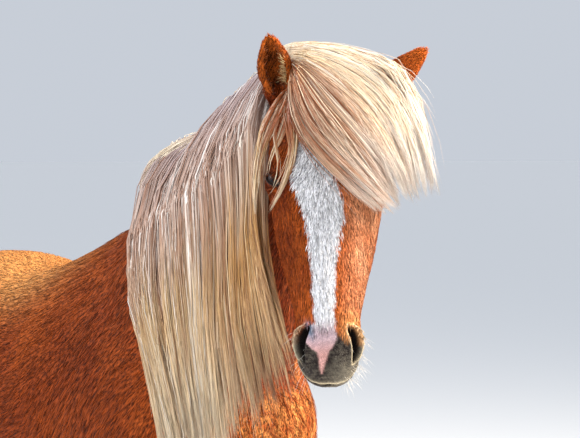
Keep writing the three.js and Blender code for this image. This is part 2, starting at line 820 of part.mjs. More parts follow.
function dockBody() {
  const rings = dockTable.map(([x, z, radius], k) => {
    const [nextX, nextZ] = dockTable[Math.min(k + 1, dockTable.length - 1)];
    const [lastX, lastZ] = dockTable[Math.max(k - 1, 0)];
    const along = new THREE.Vector3(nextX - lastX, 0, nextZ - lastZ).normalize();
    const up = new THREE.Vector3(-along.z, 0, along.x);
    return Array.from({ length: tailSides }, (_, j) => {
      const angle = (j * 2 * Math.PI) / tailSides;
      return new THREE.Vector3(x, Math.sin(angle) * radius, z).addScaledVector(up, Math.cos(angle) * radius);
    });
  });
  return solidOf(loft(rings));
}

function tailPath(ring, order, share, random) {
  const angle = Math.PI + THREE.MathUtils.degToRad((share - 0.5) * ring.arc);
  const radial = new THREE.Vector3(Math.cos(angle), Math.sin(angle), 0);
  const [rootX, rootZ, radius] = rowAt(dockTable, ring.from + 0.5 * (order + 1) * Math.abs(share - 0.5));
  const tip = ring.tip + 110 * random();
  const root = new THREE.Vector3(rootX, 0, rootZ).addScaledVector(radial, radius * 0.55);
  const path = [{ at: root, width: ring.width * 0.5 }];
  for (let k = 1; k <= tailSteps; k += 1) {
    const t = k / tailSteps;
    const z = lerp(rootZ - 6, tip, t ** 1.05);
    const swell = Math.sin(Math.PI * lerp(0.3, 0.86, t));
    const middle = lerp(rootX, tailMiddle, Math.min(1, t * 1.8));
    const reach = Math.max(swell, (1 - t) * 0.6);
    const at = new THREE.Vector3(middle + radial.x * ring.depth * reach, radial.y * ring.spread * reach, z);
    path.push({ at, width: ring.width * lerp(1, 0.55, t) });
  }
  path.forEach((place, k) => {
    place.thick = ring.thick * (1 - (0.45 * k) / tailSteps);
    place.out = radial.clone().addScaledVector(new THREE.Vector3(-radial.y, radial.x, 0), shingle);
  });
  return path;
}

function tailLocks() {
  const random = seededRandom(37);
  return tailRings.flatMap((ring, order) => Array.from({ length: ring.count }, (_, k) => (
    tailPath(ring, order, (k + 0.5) / ring.count, random)
  )));
}

// Feather: short locks behind each fetlock
const feather = { count: 5, width: 30, thick: 9, length: 87, from: 178, stagger: 16, arc: 2.3 };
const featherShares = [[0, 0.65], [0.3, 0.9], [0.65, 0.93], [1, 0]];

function featherPaths(kind, side) {
  const random = seededRandom(kind === 'front' ? 51 + side : 61 + side);
  const rows = legRows(kind, side);
  return Array.from({ length: feather.count }, (_, k) => {
    const angle = Math.PI + lerp(-0.5, 0.5, k / (feather.count - 1)) * feather.arc;
    const radial = new THREE.Vector3(Math.cos(angle), Math.sin(angle), 0);
    const from = feather.from - feather.stagger * (k % 2);
    const fetlock = rows.find((row) => row[0] < from);
    const reach = feather.length * (0.85 + 0.3 * random());
    return featherShares.map(([t, wide]) => ({
      at: legPoint(fetlock, angle, t === 0 ? -9 : lerp(4, 21, t)).setZ(from - reach * t),
      width: feather.width * wide,
      thick: feather.thick * (1 - 0.4 * t),
      out: radial,
    }));
  });
}

// Where the parts meet
const neckPlane = planeThrough(new THREE.Vector3(75, 0, 1425), new THREE.Vector3(0.777, 0, 0.629));
const headPlane = planeThrough(new THREE.Vector3(596, -10, 1580), new THREE.Vector3(0.92, -0.3, 0.18));
const legCuts = {
  front: planeThrough(new THREE.Vector3(0, 0, foreCutHeight), new THREE.Vector3(0, 0, 1)),
  hind: planeThrough(new THREE.Vector3(0, 0, hindCutHeight), new THREE.Vector3(0, 0, 1)),
};
const jointCuts = {
  front: planeThrough(new THREE.Vector3(0, 0, kneeCutHeight), new THREE.Vector3(0, 0, 1)),
  hind: planeThrough(new THREE.Vector3(0, 0, hockCutHeight), new THREE.Vector3(0, 0, 1)),
};
const legs = [['front', 1], ['front', -1], ['hind', 1], ['hind', -1]];
const legName = (kind, side) => `${kind}_${side > 0 ? 'left' : 'right'}`;

function torsoWith(grow) {
  const gap = grow ? -grow : seam / 2;
  const shoulder = behind(neckBody(grow), neckPlane, gap);
  const tops = legs.map(([kind, side]) => ahead(legBody(kind, side, grow), legCuts[kind], gap));
  return joined([torsoBody(grow), shoulder, ...tops]);
}

function headWith(grow) {
  const nape = ahead(neckBody(grow), headPlane, grow ? -grow : seam / 2);
  return joined(grow ? [headBody(grow), lidBall(-1, grow), lidBall(1, grow), nape] : [headFlesh(), nape]);
}

const horse = new THREE.Group();

function addNode(name, solid, materialName) {
  const [colour, roughness] = materials[materialName];
  const material = new THREE.MeshStandardMaterial({ color: colour, roughness, metalness: 0 });
  const mesh = new THREE.Mesh(geometryOf(largest(solid)), material);
  mesh.name = name;
  horse.add(mesh);
  return mesh;
}

const torsoRoom = torsoWith(cutGrow);
const neckFlesh = ahead(behind(neckBody(), headPlane, seam / 2), neckPlane, seam / 2);
const head = headWith(0);
const headRoom = headWith(cutGrow);
const bodyTarget = rayTarget(joined([torsoWith(0), neckBody(), headBody()]));
const headTarget = rayTarget(headBody());
const earRoom = joined(Object.values(ears).map((ear) => earOuter(ear, cutGrow)));

const forelockPaths = forelockLocks(headTarget);
const forelockRoom = joined(forelockPaths.map((path) => lock(path, cutGrow)));
const forelockSolid = joined(forelockPaths.map((path) => lock(path)));
const maneSolid = joined(maneLocks(bodyTarget).map((path) => lock(path)));

addNode('torso', torsoWith(0), 'coat');
const neckRoom = joined([torsoRoom, headRoom, forelockRoom, earRoom]);
addNode('neck', neckFlesh.add(maneSolid).subtract(neckRoom), 'coat');
addNode('head', head.add(forelockSolid.subtract(earRoom)), 'coat');
for (const [name, ear] of Object.entries(ears)) {
  addNode(`ear_${name}`, earShape(ear).subtract(headRoom), 'coat');
}
for (const side of [1, -1]) {
  addNode(`eye_${side > 0 ? 'left' : 'right'}`, eyeBall(side), 'eye');
}
for (const [kind, side] of legs) {
  const name = legName(kind, side);
  const whole = legBody(kind, side);
  const upper = ahead(behind(whole, legCuts[kind], seam / 2), jointCuts[kind], seam / 2);
  addNode(`leg_upper_${name}`, upper.subtract(torsoRoom), 'coat');
  const lower = ahead(behind(whole, jointCuts[kind], seam / 2), coronetPlane(kind, side), seam / 2);
  const fringe = joined(featherPaths(kind, side).map((path) => lock(path)));
  addNode(`leg_lower_${name}`, lower.add(ahead(fringe, coronetPlane(kind, side), seam)), 'coat');
  addNode(`hoof_${name}`, hoofBody(kind, side), 'hoof');
}
const tailSolid = joined([dockBody(), ...tailLocks().map((path) => lock(path))]);
addNode('tail', tailSolid.subtract(torsoRoom), 'mane');

// Origin at the middle of the footprint, on the floor
const bounds = new THREE.Box3().setFromObject(horse);
const centre = bounds.getCenter(new THREE.Vector3());
horse.position.set(-centre.x, -centre.y, -bounds.min.z);

export default horse;
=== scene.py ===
# Icelandic horse at life size: chestnut coat, pale mane and forelock, white blaze.
# The body's own tables are in millimetres, with x = 0 under the withers, and every finished mesh
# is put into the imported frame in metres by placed().

import math
from contextlib import contextmanager

import bmesh
import bpy
import numpy as np
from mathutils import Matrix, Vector
from mathutils.bvhtree import BVHTree


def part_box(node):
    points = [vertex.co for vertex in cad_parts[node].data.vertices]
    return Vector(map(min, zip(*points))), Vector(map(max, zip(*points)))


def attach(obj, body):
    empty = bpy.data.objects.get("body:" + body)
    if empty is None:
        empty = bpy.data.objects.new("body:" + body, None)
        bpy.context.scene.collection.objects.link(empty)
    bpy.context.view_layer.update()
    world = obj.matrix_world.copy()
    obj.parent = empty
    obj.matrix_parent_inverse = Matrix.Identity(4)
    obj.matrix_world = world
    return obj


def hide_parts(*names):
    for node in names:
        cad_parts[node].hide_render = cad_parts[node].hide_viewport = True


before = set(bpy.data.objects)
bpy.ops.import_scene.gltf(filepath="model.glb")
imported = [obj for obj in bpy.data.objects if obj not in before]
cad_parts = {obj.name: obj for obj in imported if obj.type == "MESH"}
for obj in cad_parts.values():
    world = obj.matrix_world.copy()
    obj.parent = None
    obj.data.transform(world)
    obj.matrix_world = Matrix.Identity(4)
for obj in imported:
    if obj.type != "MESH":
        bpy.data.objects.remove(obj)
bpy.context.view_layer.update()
bpy.ops.object.select_all(action="DESELECT")


def unit(vectors):
    vectors = np.asarray(vectors, float)
    return vectors / np.maximum(np.linalg.norm(vectors, axis=-1, keepdims=True), 1e-9)


def mix(a, b, t):
    return a + (b - a) * t


def smoothStep(low, high, value):
    t = np.clip((value - low) / (high - low), 0, 1)
    return t * t * (3 - 2 * t)


def linearColour(hexValue):  # sRGB hex to the linear values that materials take
    channels = [int(hexValue[k : k + 2], 16) / 255 for k in (1, 3, 5)]
    return np.array([c / 12.92 if c <= 0.04045 else ((c + 0.055) / 1.055) ** 2.4 for c in channels])


def linearColours(**hexValues):
    return {name: linearColour(value) for name, value in hexValues.items()}


def roundAngles(sides):
    return np.arange(sides) * 2 * np.pi / sides


# Shape tables of the body, the same rows as the solids have

# x, top, bottom, half width, height of the widest line, power above it, power below it
torsoTable = np.array([
    [470, 1075, 1000, 46, 1036, 2.0, 2.0],
    [450, 1130, 935, 108, 1030, 2.0, 2.0],
    [415, 1185, 878, 152, 1022, 2.0, 2.0],
    [360, 1240, 830, 184, 1020, 2.0, 2.0],
    [285, 1305, 790, 208, 1030, 1.9, 2.0],
    [190, 1365, 762, 218, 1042, 1.8, 2.1],
    [90, 1408, 748, 220, 1050, 1.6, 2.1],
    [0, 1424, 742, 224, 1050, 1.5, 2.1],
    [-110, 1378, 738, 244, 1042, 1.75, 2.1],
    [-230, 1334, 736, 262, 1030, 2.0, 2.1],
    [-350, 1311, 740, 273, 1025, 2.2, 2.1],
    [-470, 1313, 754, 275, 1030, 2.3, 2.1],
    [-580, 1328, 778, 266, 1050, 2.3, 2.1],
    [-690, 1328, 808, 252, 1070, 2.2, 2.1],
    [-790, 1310, 838, 242, 1080, 2.1, 2.1],
    [-880, 1274, 872, 224, 1080, 2.1, 2.0],
    [-960, 1224, 916, 190, 1070, 2.0, 2.0],
    [-1020, 1164, 966, 142, 1062, 2.0, 2.0],
    [-1062, 1098, 1024, 64, 1060, 2.0, 2.0],
], float)

# crest point, underline point, half width, turn of the section in degrees
neckTable = np.array([
    [-60, 0, 1396, 285, 0, 870, 180, 0],
    [20, 0, 1430, 390, 0, 978, 178, 0],
    [120, -3, 1492, 436, 0, 1082, 156, 0],
    [220, -9, 1538, 460, 2, 1172, 132, 3],
    [330, -16, 1583, 485, 5, 1260, 113, 7],
    [440, -23, 1628, 514, 9, 1338, 100, 12],
    [530, -28, 1665, 545, 14, 1400, 92, 17],
    [600, -32, 1691, 578, 20, 1446, 85, 22],
    [650, -36, 1704, 606, 24, 1484, 70, 26],
], float)
neckShape = {"widest": -0.12, "upperPower": 1.65, "lowerPower": 2.3}

# distance from the poll down the face, depth of the upper midline, four pairs of half width and
# depth round to the jaw, depth of the lower midline
headTable = np.array([
    [-30, -26, 38, -33, 54, -58, 54, -88, 36, -112, -120],
    [0, -2, 44, -10, 64, -42, 66, -86, 48, -132, -150],
    [45, 11, 52, 1, 77, -36, 78, -96, 58, -162, -182],
    [95, 19, 58, 9, 89, -32, 85, -102, 63, -184, -203],
    [140, 24, 63, 14, 97, -33, 89, -106, 66, -201, -215],
    [180, 26, 66, 15, 100, -38, 91, -110, 66, -206, -217],
    [215, 26, 64, 15, 98, -48, 92, -114, 62, -202, -209],
    [250, 24, 59, 13, 91, -56, 91, -114, 56, -189, -194],
    [290, 20, 52, 9, 82, -56, 86, -108, 51, -169, -172],
    [330, 16, 45, 6, 72, -50, 79, -96, 48, -147, -151],
    [370, 13, 39, 4, 63, -43, 70, -84, 44, -127, -132],
    [410, 10, 34, 2, 56, -37, 62, -72, 41, -111, -117],
    [450, 7, 30, -1, 51, -32, 55, -63, 39, -99, -106],
    [482, 3, 29, -4, 52, -28, 53, -62, 38, -93, -100],
    [508, -3, 30, -9, 54, -31, 51, -64, 38, -91, -98],
    [532, -12, 29, -18, 48, -39, 46, -66, 35, -89, -95],
    [550, -23, 24, -28, 39, -45, 38, -65, 30, -84, -89],
    [562, -36, 16, -39, 25, -50, 25, -63, 19, -75, -79],
    [568, -50, 6, -51, 9, -55, 9, -60, 7, -65, -67],
], float)

# height, x, half length, y, half width of each leg's sections
legTables = {
    "front": np.array([
        [1100, 205, 112, 112, 62],
        [975, 160, 128, 124, 72],
        [885, 128, 120, 126, 71],
        [800, 106, 92, 122, 62],
        [720, 99, 70, 117, 51],
        [620, 99, 55, 114, 43],
        [520, 103, 44, 112, 38],
        [460, 105, 42, 112, 40],
        [415, 107, 43, 112, 43],
        [375, 103, 38, 112, 37],
        [325, 100, 31, 112, 28],
        [245, 98, 30, 112, 25],
        [190, 99, 31, 112, 26],
        [155, 101, 37, 113, 32],
        [125, 112, 31, 114, 29],
        [95, 124, 30, 115, 29],
        [60, 138, 37, 116, 37],
        [30, 148, 34, 117, 34],
    ], float),
    "hind": np.array([
        [1190, -800, 180, 98, 96],
        [1070, -820, 206, 116, 106],
        [955, -808, 198, 124, 101],
        [865, -795, 163, 129, 84],
        [785, -820, 118, 128, 68],
        [705, -853, 88, 122, 55],
        [625, -894, 68, 118, 45],
        [570, -925, 62, 116, 39],
        [540, -946, 64, 115, 38],
        [500, -952, 58, 115, 40],
        [455, -950, 47, 115, 38],
        [415, -952, 37, 115, 31],
        [345, -955, 31, 115, 25],
        [255, -957, 30, 115, 24],
        [200, -957, 32, 115, 26],
        [165, -955, 38, 115, 32],
        [130, -944, 33, 116, 30],
        [95, -932, 31, 117, 30],
        [60, -918, 37, 118, 37],
        [30, -908, 34, 118, 34],
    ], float),
}
# how far forward of its table each hoof stands; side 1 is the horse's left and -1 its right
strides = {("front", 1): -18, ("front", -1): 22, ("hind", 1): 58, ("hind", -1): -12}
legKeys = list(strides)
# x, height, radius along the dock of the tail
dockTable = np.array([
    [-968, 1176, 40],
    [-1028, 1166, 42],
    [-1082, 1128, 38],
    [-1114, 1062, 33],
    [-1130, 980, 27],
    [-1140, 890, 17],
], float)

# Frame of the head: the poll, down the face, to the horse's left, out of the face
poll = np.array([668.6, -24.6, 1715.5])
faceDown = unit([0.393, -0.2865, -0.8738])
faceLeft = np.array([0.5897, 0.8076, 0.0])
faceLeft = unit(faceLeft - faceDown * faceLeft.dot(faceDown))
faceOut = unit(np.cross(faceDown, faceLeft))
headAxes = np.array([faceDown, faceLeft, faceOut])


def facePoint(places):
    return poll + np.asarray(places, float) @ headAxes


def faceCoordinates(points):
    return (np.asarray(points) - poll) @ headAxes.T


def headDirection(down, left, out):
    return unit(np.array([down, left, out], float) @ headAxes)


def eyeCentre(side):
    return facePoint([201, side * 79, -50])


def sideName(side):
    return "left" if side > 0 else "right"


def strideAt(kind, side, height):  # a leg leans by its stride, from nothing at its top
    return strides[(kind, side)] * (1 - height / legTables[kind][0, 0])


def legAt(kind, side, height):  # x, y, half length and half width of a leg's section
    table = legTables[kind][::-1]
    x, length, y, width = [np.interp(height, table[:, 0], table[:, k]) for k in (1, 2, 3, 4)]
    return x + strideAt(kind, side, height), y * side, length, width


def axesFrom(first, hint):
    a = unit(first)
    b = unit(hint - a * np.dot(hint, a))
    return np.array([a, b, np.cross(a, b)])


def eyeAxes(side):  # where the eye looks, along the lids towards the muzzle, across them
    return axesFrom(headDirection(0.22, side * 0.68, 0.70), headDirection(0.68, side * -0.62, 0.30))


eyeLow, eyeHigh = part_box("eye_left")
origin = (np.array(eyeLow) + np.array(eyeHigh)) / 2 - eyeCentre(1) / 1000
origin[1:] = 0


def placed(points):  # from the tables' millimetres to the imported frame's metres
    return np.asarray(points, float) / 1000 + origin


def rowsAt(table, place):  # Catmull-Rom through the rows
    place = np.asarray(place, float)
    last = len(table) - 1
    i = np.clip(place.astype(int), 0, last - 1)
    t = (place - i)[..., None]
    before, start = table[np.maximum(i - 1, 0)], table[i]
    end, after = table[i + 1], table[np.minimum(i + 2, last)]
    leave, arrive = (end - before) / 2, (after - start) / 2
    ends = start * (2 * t**3 - 3 * t**2 + 1) + end * (3 * t**2 - 2 * t**3)
    return ends + leave * (t**3 - 2 * t**2 + t) + arrive * (t**3 - t**2)


def evenRows(table, count):
    return rowsAt(table, np.linspace(0, len(table) - 1, count))


def eggOutline(sides, widest, upperPower, lowerPower):
    angle = roundAngles(sides)
    side, up = np.sin(angle)[None], np.cos(angle)[None]
    power = 2 / np.where(up >= 0, upperPower[:, None], lowerPower[:, None])
    across = np.sign(side) * np.abs(side) ** power
    rise = np.abs(up) ** power
    widest = widest[:, None]
    return across, np.where(up >= 0, mix(widest, 1, rise), mix(widest, -1, rise))


def torsoRings(grow, stations=90, sides=64):
    x, top, bottom, halfWidth, widest, upper, lower = evenRows(torsoTable, stations).T
    middle, half = (top + bottom) / 2, (top - bottom) / 2
    across, up = eggOutline(sides, (widest - middle) / half, upper, lower)
    rings = np.empty((stations, sides, 3))
    rings[..., 0] = x[:, None]
    rings[..., 1] = across * (halfWidth + grow)[:, None]
    rings[..., 2] = middle[:, None] + up * (half + grow)[:, None]
    return rings


def neckRings(grow, first=0.0, last=8.0, stations=60, sides=64):
    rows = rowsAt(neckTable, np.linspace(first, last, stations))
    crest, under, halfWidth, turn = rows[:, 0:3], rows[:, 3:6], rows[:, 6], np.radians(rows[:, 7])
    middle, up = (crest + under) / 2, unit(crest - under)
    half = np.linalg.norm(crest - under, axis=1) / 2
    side = np.stack([np.sin(turn), np.cos(turn), 0 * turn], 1)
    same = np.ones(stations)
    shape = [neckShape[key] * same for key in ("widest", "upperPower", "lowerPower")]
    across, rise = eggOutline(sides, *shape)
    aside = (across * (halfWidth + grow)[:, None])[..., None] * side[:, None]
    return middle[:, None] + aside + (rise * (half + grow)[:, None])[..., None] * up[:, None]


def closedCurve(corners, spans):  # centripetal curve round each ring of corners
    previous, following = np.roll(corners, 1, 1), np.roll(corners, -1, 1)
    beyond = np.roll(corners, -2, 1)

    def step(a, b):
        return np.sqrt(np.linalg.norm(b - a, axis=-1, keepdims=True))

    d0, d1, d2 = step(previous, corners), step(corners, following), step(following, beyond)
    leave = (corners - previous) / d0 - (following - previous) / (d0 + d1) + (following - corners) / d1
    arrive = (following - corners) / d1 - (beyond - corners) / (d1 + d2) + (beyond - following) / d2
    leave, arrive = leave * d1, arrive * d1
    pieces = []
    for k in range(spans):
        t = k / spans
        ends = corners * (2 * t**3 - 3 * t**2 + 1) + following * (3 * t**2 - 2 * t**3)
        pieces.append(ends + leave * (t**3 - 2 * t**2 + t) + arrive * (t**3 - t**2))
    return np.stack(pieces, 2).reshape(len(corners), -1, corners.shape[-1])


def headRings(grow, stations=110, spans=7):
    rows = evenRows(headTable, stations)
    down, upper, lower = rows[:, 0], rows[:, 1], rows[:, 10]
    half = rows[:, 2:10].reshape(-1, 4, 2)
    zero = np.zeros(stations)
    right = half[:, ::-1] * [-1, 1]
    ends = [np.stack([zero, edge], 1)[:, None] for edge in (upper, lower)]
    corners = np.concatenate([ends[0], half, ends[1], right], 1)
    middle = np.stack([zero, (upper + lower) / 2], 1)[:, None]
    away = corners - middle
    length = np.linalg.norm(away, axis=-1, keepdims=True)
    curve = closedCurve(middle + away * (1 + grow / length), spans)
    places = np.concatenate([np.broadcast_to(down[:, None, None], curve.shape[:2] + (1,)), curve], -1)
    places[0, :, 0] -= grow
    places[-1, :, 0] += grow
    return facePoint(places)


def legRings(kind, side, grow, stations=90, sides=40):
    z, x, length, y, width = evenRows(legTables[kind], stations).T
    x = x + strideAt(kind, side, z)
    angle = roundAngles(sides)
    rings = np.empty((stations, sides, 3))
    rings[..., 0] = x[:, None] + np.cos(angle) * (length + grow)[:, None]
    rings[..., 1] = (y * side)[:, None] + np.sin(angle) * (width + grow)[:, None]
    rings[..., 2] = z[:, None]
    return rings


def dockRings(grow, stations=30, sides=24):
    rows = evenRows(dockTable, stations)
    along = unit(np.gradient(rows[:, :2], axis=0))
    angle = roundAngles(sides)
    radius = (rows[:, 2] + grow)[:, None]
    rings = np.empty((stations, sides, 3))
    rings[..., 0] = rows[:, 0:1] - along[:, 1:2] * np.cos(angle) * radius
    rings[..., 1] = np.sin(angle) * radius
    rings[..., 2] = rows[:, 1:2] + along[:, 0:1] * np.cos(angle) * radius
    return rings


# Mesh helpers


def newObject(name, mesh):
    obj = bpy.data.objects.new(name, mesh)
    bpy.context.scene.collection.objects.link(obj)
    return obj


def meshFromArrays(name, points, faces):
    # faces is a list of arrays, one for each number of corners
    mesh = bpy.data.meshes.new(name)
    counts = np.concatenate([np.full(len(f), f.shape[1]) for f in faces])
    corners = np.concatenate([np.asarray(f).ravel() for f in faces])
    mesh.vertices.add(len(points))
    mesh.vertices.foreach_set("co", np.asarray(points, np.float32).ravel())
    mesh.loops.add(len(corners))
    mesh.loops.foreach_set("vertex_index", corners.astype(np.int32))
    mesh.polygons.add(len(counts))
    starts = np.concatenate([[0], np.cumsum(counts)[:-1]])
    mesh.polygons.foreach_set("loop_start", starts.astype(np.int32))
    mesh.polygons.foreach_set("use_smooth", np.ones(len(counts), bool))
    mesh.update(calc_edges=True)
    mesh.validate()
    return mesh


def loftFaces(rings, sides):
    r, k = np.meshgrid(np.arange(rings - 1), np.arange(sides), indexing="ij")
    a, b = r * sides + k, r * sides + (k + 1) % sides
    quads = np.stack([a, a + sides, b + sides, b], -1).reshape(-1, 4)
    k = np.arange(sides)
    first, last = rings * sides, rings * sides + 1
    base = (rings - 1) * sides
    fans = [
        np.stack([0 * k + first, k, (k + 1) % sides], 1),
        np.stack([0 * k + last, base + (k + 1) % sides, base + k], 1),
    ]
    return [quads, np.concatenate(fans)]


def loftPoints(rings):
    ends = [rings[0].mean(0)[None], rings[-1].mean(0)[None]]
    return np.concatenate([rings.reshape(-1, 3), *ends])


def joinedLofts(name, ringSets):  # several closed lofts in one mesh, ready for an even remesh
    points, faceSets, count = [], [[], []], 0
    for rings in ringSets:
        points.append(placed(loftPoints(rings)))
        for faceSet, faces in zip(faceSets, loftFaces(*rings.shape[:2])):
            faceSet.append(faces + count)
        count += len(points[-1])
    mesh = meshFromArrays(name, np.concatenate(points), [np.concatenate(faceSet) for faceSet in faceSets])
    obj = newObject(name, mesh)
    turnOutwards(obj)
    return obj


@contextmanager
def editing(mesh):
    bm = bmesh.new()
    bm.from_mesh(mesh)
    yield bm
    bm.to_mesh(mesh)
    bm.free()


def turnOutwards(obj):
    with editing(obj.data) as bm:
        bmesh.ops.recalc_face_normals(bm, faces=bm.faces)


def applyModifier(obj, kind, **values):
    modifier = obj.modifiers.new(kind.lower(), kind)
    for key, value in values.items():
        setattr(modifier, key, value)
    bpy.context.view_layer.objects.active = obj
    bpy.ops.object.modifier_apply(modifier=modifier.name)


def meshPoints(mesh, kind="co"):
    values = np.empty(len(mesh.vertices) * 3, np.float32)
    mesh.vertices.foreach_get(kind, values)
    return values.reshape(-1, 3).astype(float)


def meshNormals(mesh):
    return meshPoints(mesh, "normal")


def bodyPoints(mesh):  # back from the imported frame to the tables' millimetres
    return (meshPoints(mesh) - origin) * 1000


def shadeSmooth(mesh):
    mesh.polygons.foreach_set("use_smooth", np.ones(len(mesh.polygons), bool))


def addTint(mesh, colours, alpha=1):
    values = np.ones((len(colours), 4), np.float32)
    values[:, :3] = colours
    values[:, 3] = alpha
    tint = mesh.color_attributes.new(name="tint", type="FLOAT_COLOR", domain="POINT")
    tint.data.foreach_set("color", values.ravel())


def setPoints(mesh, points):
    mesh.vertices.foreach_set("co", np.asarray(points, np.float32).ravel())
    mesh.update()


def relaxed(mesh, rounds, weights=1.0):  # each point moves towards the middle of its neighbours
    edges = np.empty(len(mesh.edges) * 2, np.int32)
    mesh.edges.foreach_get("vertices", edges)
    edges = edges.reshape(-1, 2)
    count = len(mesh.vertices)
    degree = np.bincount(edges.ravel(), minlength=count)[:, None]
    points = meshPoints(mesh)
    weights = np.broadcast_to(np.asarray(weights, float).reshape(-1, 1), (count, 1))
    for _ in range(rounds):
        total = np.empty((count, 3))
        for k in range(3):
            axis = points[:, k]
            total[:, k] = np.bincount(edges[:, 0], axis[edges[:, 1]], count)
            total[:, k] += np.bincount(edges[:, 1], axis[edges[:, 0]], count)
        points = mix(points, total / degree, 0.5 * weights)
    setPoints(mesh, points)


# Skin: one closed surface over the whole horse, coarse on the body and fine on the head

skinSizes = {  # insets: how far it lies inside the tables' forms; voxels and gap in metres
    "bodyInset": -5.0,
    "legInset": -3.5,
    "headInset": -3.0,
    "bodyVoxel": 0.0128,
    "headVoxel": 0.0037,
    "bodyRounds": 12,
    "headRounds": 60,
    "headRows": (3.9, 8.0),  # rows of the neck's table that lie in the fine part
    "seamPoint": [455, -5, 1465],
    "seamNormal": [0.78, 0, 0.63],
    "seamGap": 0.004,
}


def cutByPlane(obj, side, gap):
    normal = unit(skinSizes["seamNormal"])
    place = placed(skinSizes["seamPoint"]) + normal * gap
    with editing(obj.data) as bm:
        everything = bm.verts[:] + bm.edges[:] + bm.faces[:]
        plane = {"plane_co": Vector(place), "plane_no": Vector(normal)}
        bmesh.ops.bisect_plane(bm, geom=everything, clear_outer=side < 0, clear_inner=side > 0, **plane)


def triangulateLarge(bm):
    bmesh.ops.triangulate(bm, faces=[face for face in bm.faces if len(face.verts) > 4])


def makeSkin():
    inset = skinSizes["bodyInset"]
    legs = [legRings(kind, side, skinSizes["legInset"]) for kind, side in legKeys]
    body = joinedLofts("body", [torsoRings(inset), neckRings(inset), dockRings(inset), *legs])
    applyModifier(body, "REMESH", mode="VOXEL", voxel_size=skinSizes["bodyVoxel"])
    heights = (meshPoints(body.data) - origin)[:, 2]
    relaxed(body.data, skinSizes["bodyRounds"], np.where(heights < 0.75, 0.25, 1.0))
    upperNeck = neckRings(inset, *skinSizes["headRows"])
    head = joinedLofts("skin", [headRings(skinSizes["headInset"]), upperNeck])
    applyModifier(head, "REMESH", mode="VOXEL", voxel_size=skinSizes["headVoxel"])
    down, _, out = faceCoordinates(bodyPoints(head.data)).T
    nape = np.clip(smoothStep(60, -20, down) + smoothStep(-110, -190, out), 0.12, 1)
    relaxed(head.data, skinSizes["headRounds"], nape)
    cutByPlane(body, -1, -skinSizes["seamGap"])
    cutByPlane(head, 1, 0.0)
    bpy.ops.object.select_all(action="DESELECT")
    body.select_set(True)
    head.select_set(True)
    bpy.context.view_layer.objects.active = head
    bpy.ops.object.join()
    with editing(head.data) as bm:
        rims = [edge for edge in bm.edges if edge.is_boundary]
        bmesh.ops.bridge_loops(bm, edges=rims)
        triangulateLarge(bm)
        print("skin rims", len(rims), "open edges left", sum(edge.is_boundary for edge in bm.edges))
    near = np.linalg.norm(meshPoints(head.data) - placed(skinSizes["seamPoint"]), axis=1)
    relaxed(head.data, 4, smoothStep(0.5, 0.2, near) * 0.5)
    return head


def subdivideNear(mesh, chosen):  # splits the edges whose two ends are both chosen
    with editing(mesh) as bm:
        edges = [edge for edge in bm.edges if all(chosen[vert.index] for vert in edge.verts)]
        bmesh.ops.subdivide_edges(bm, edges=edges, cuts=1, use_grid_fill=True, smooth=0.6)
        triangulateLarge(bm)


# Features of the head

# place down the face, to the side and out, reach in each direction, rise along the surface normal
headForms = [
    [262, 86, -60, 34, 14, 14, 3.2],  # facial crest, upper part
    [312, 75, -55, 40, 12, 11, 3.0],  # facial crest, lower part
    [176, 80, -22, 18, 18, 18, 4.0],  # brow
    [148, 66, 4, 20, 18, 16, -4.5],  # hollow over the eye
    [190, 84, -150, 52, 30, 42, 4.5],  # cheek
    [300, 60, -18, 36, 14, 20, -2.6],  # hollow beside the nose
    [240, 86, -118, 22, 20, 30, -2.0],
    [478, 46, -14, 26, 16, 18, 4.0],  # false nostril
    [420, 50, -92, 30, 18, 18, 2.0],
    [548, 16, -36, 20, 16, 16, 3.5],  # upper lip
    [524, 0, -94, 26, 26, 14, 6.0],  # chin
    [500, 30, -90, 28, 16, 16, 2.5],
]
# line of the mouth on the left side, from its corner to the middle of the lips
mouthLine = np.array([
    [438, 56, -79], [470, 53, -76], [505, 50, -69], [530, 45, -63], [548, 36, -58], [561, 18, -53],
    [566, 0, -52],
], float)
lidShape = {
    "ball": 24.6,
    "length": 19.5,
    "centre": 0.5,
    "upper": 6.4,
    "lower": 5.6,
    "edge": [0.9, 1.6, 1.5],  # rise, distance from the opening, width
    "crease": [-1.6, 9.5, 2.2],
    "blend": 40.0,
    "socket": 20.5,
    "socketDepth": 6,
}
nostrilShape = {
    "place": [510, 40, -22],
    "length": 29.0,
    "width": 12.0,
    "bend": 10.0,
    "depth": 22.0,
    "rim": [3.0, 6.0],  # rise on the inner and the outer side
    "rimShape": [3.5, 4.5],  # distance from the opening, width
}
lipShape = {"groove": [-5.5, 0, 2.0], "swell": [2.6, 7, 5]}  # rise, distance from the mouth, width


def eyeLocal(points, side):  # along the lids towards the muzzle, up, and out of the head
    axes = eyeAxes(side)
    local = (points - eyeCentre(side)) @ axes[[1, 2, 0]].T
    local[:, 1] *= -side
    return local


def eyeWorld(local, side):
    axes = eyeAxes(side)
    local = np.array(local, float)
    local[:, 1] *= -side
    return eyeCentre(side) + local @ axes[[1, 2, 0]]


def lidDistance(local):  # how far a place is outside the opening between the lids, in mm
    along = (local[:, 0] - lidShape["centre"]) / lidShape["length"]
    bow = np.sqrt(np.clip(1 - along**2, 0, 1))
    above = local[:, 1] > 0
    edge = np.where(above, lidShape["upper"] * bow**1.2, -lidShape["lower"] * bow**1.4)
    away = np.where(above, local[:, 1] - edge, edge - local[:, 1])
    beyond = (np.abs(along) - 1) * lidShape["length"]
    return np.where(np.abs(along) < 1, away * 0.9, np.hypot(np.maximum(beyond, 0), local[:, 1]))


def nostrilAxes(side):
    look = headDirection(0.28, side * 0.72, 0.62)
    return axesFrom(look, headDirection(0.93, side * 0.22, -0.3))


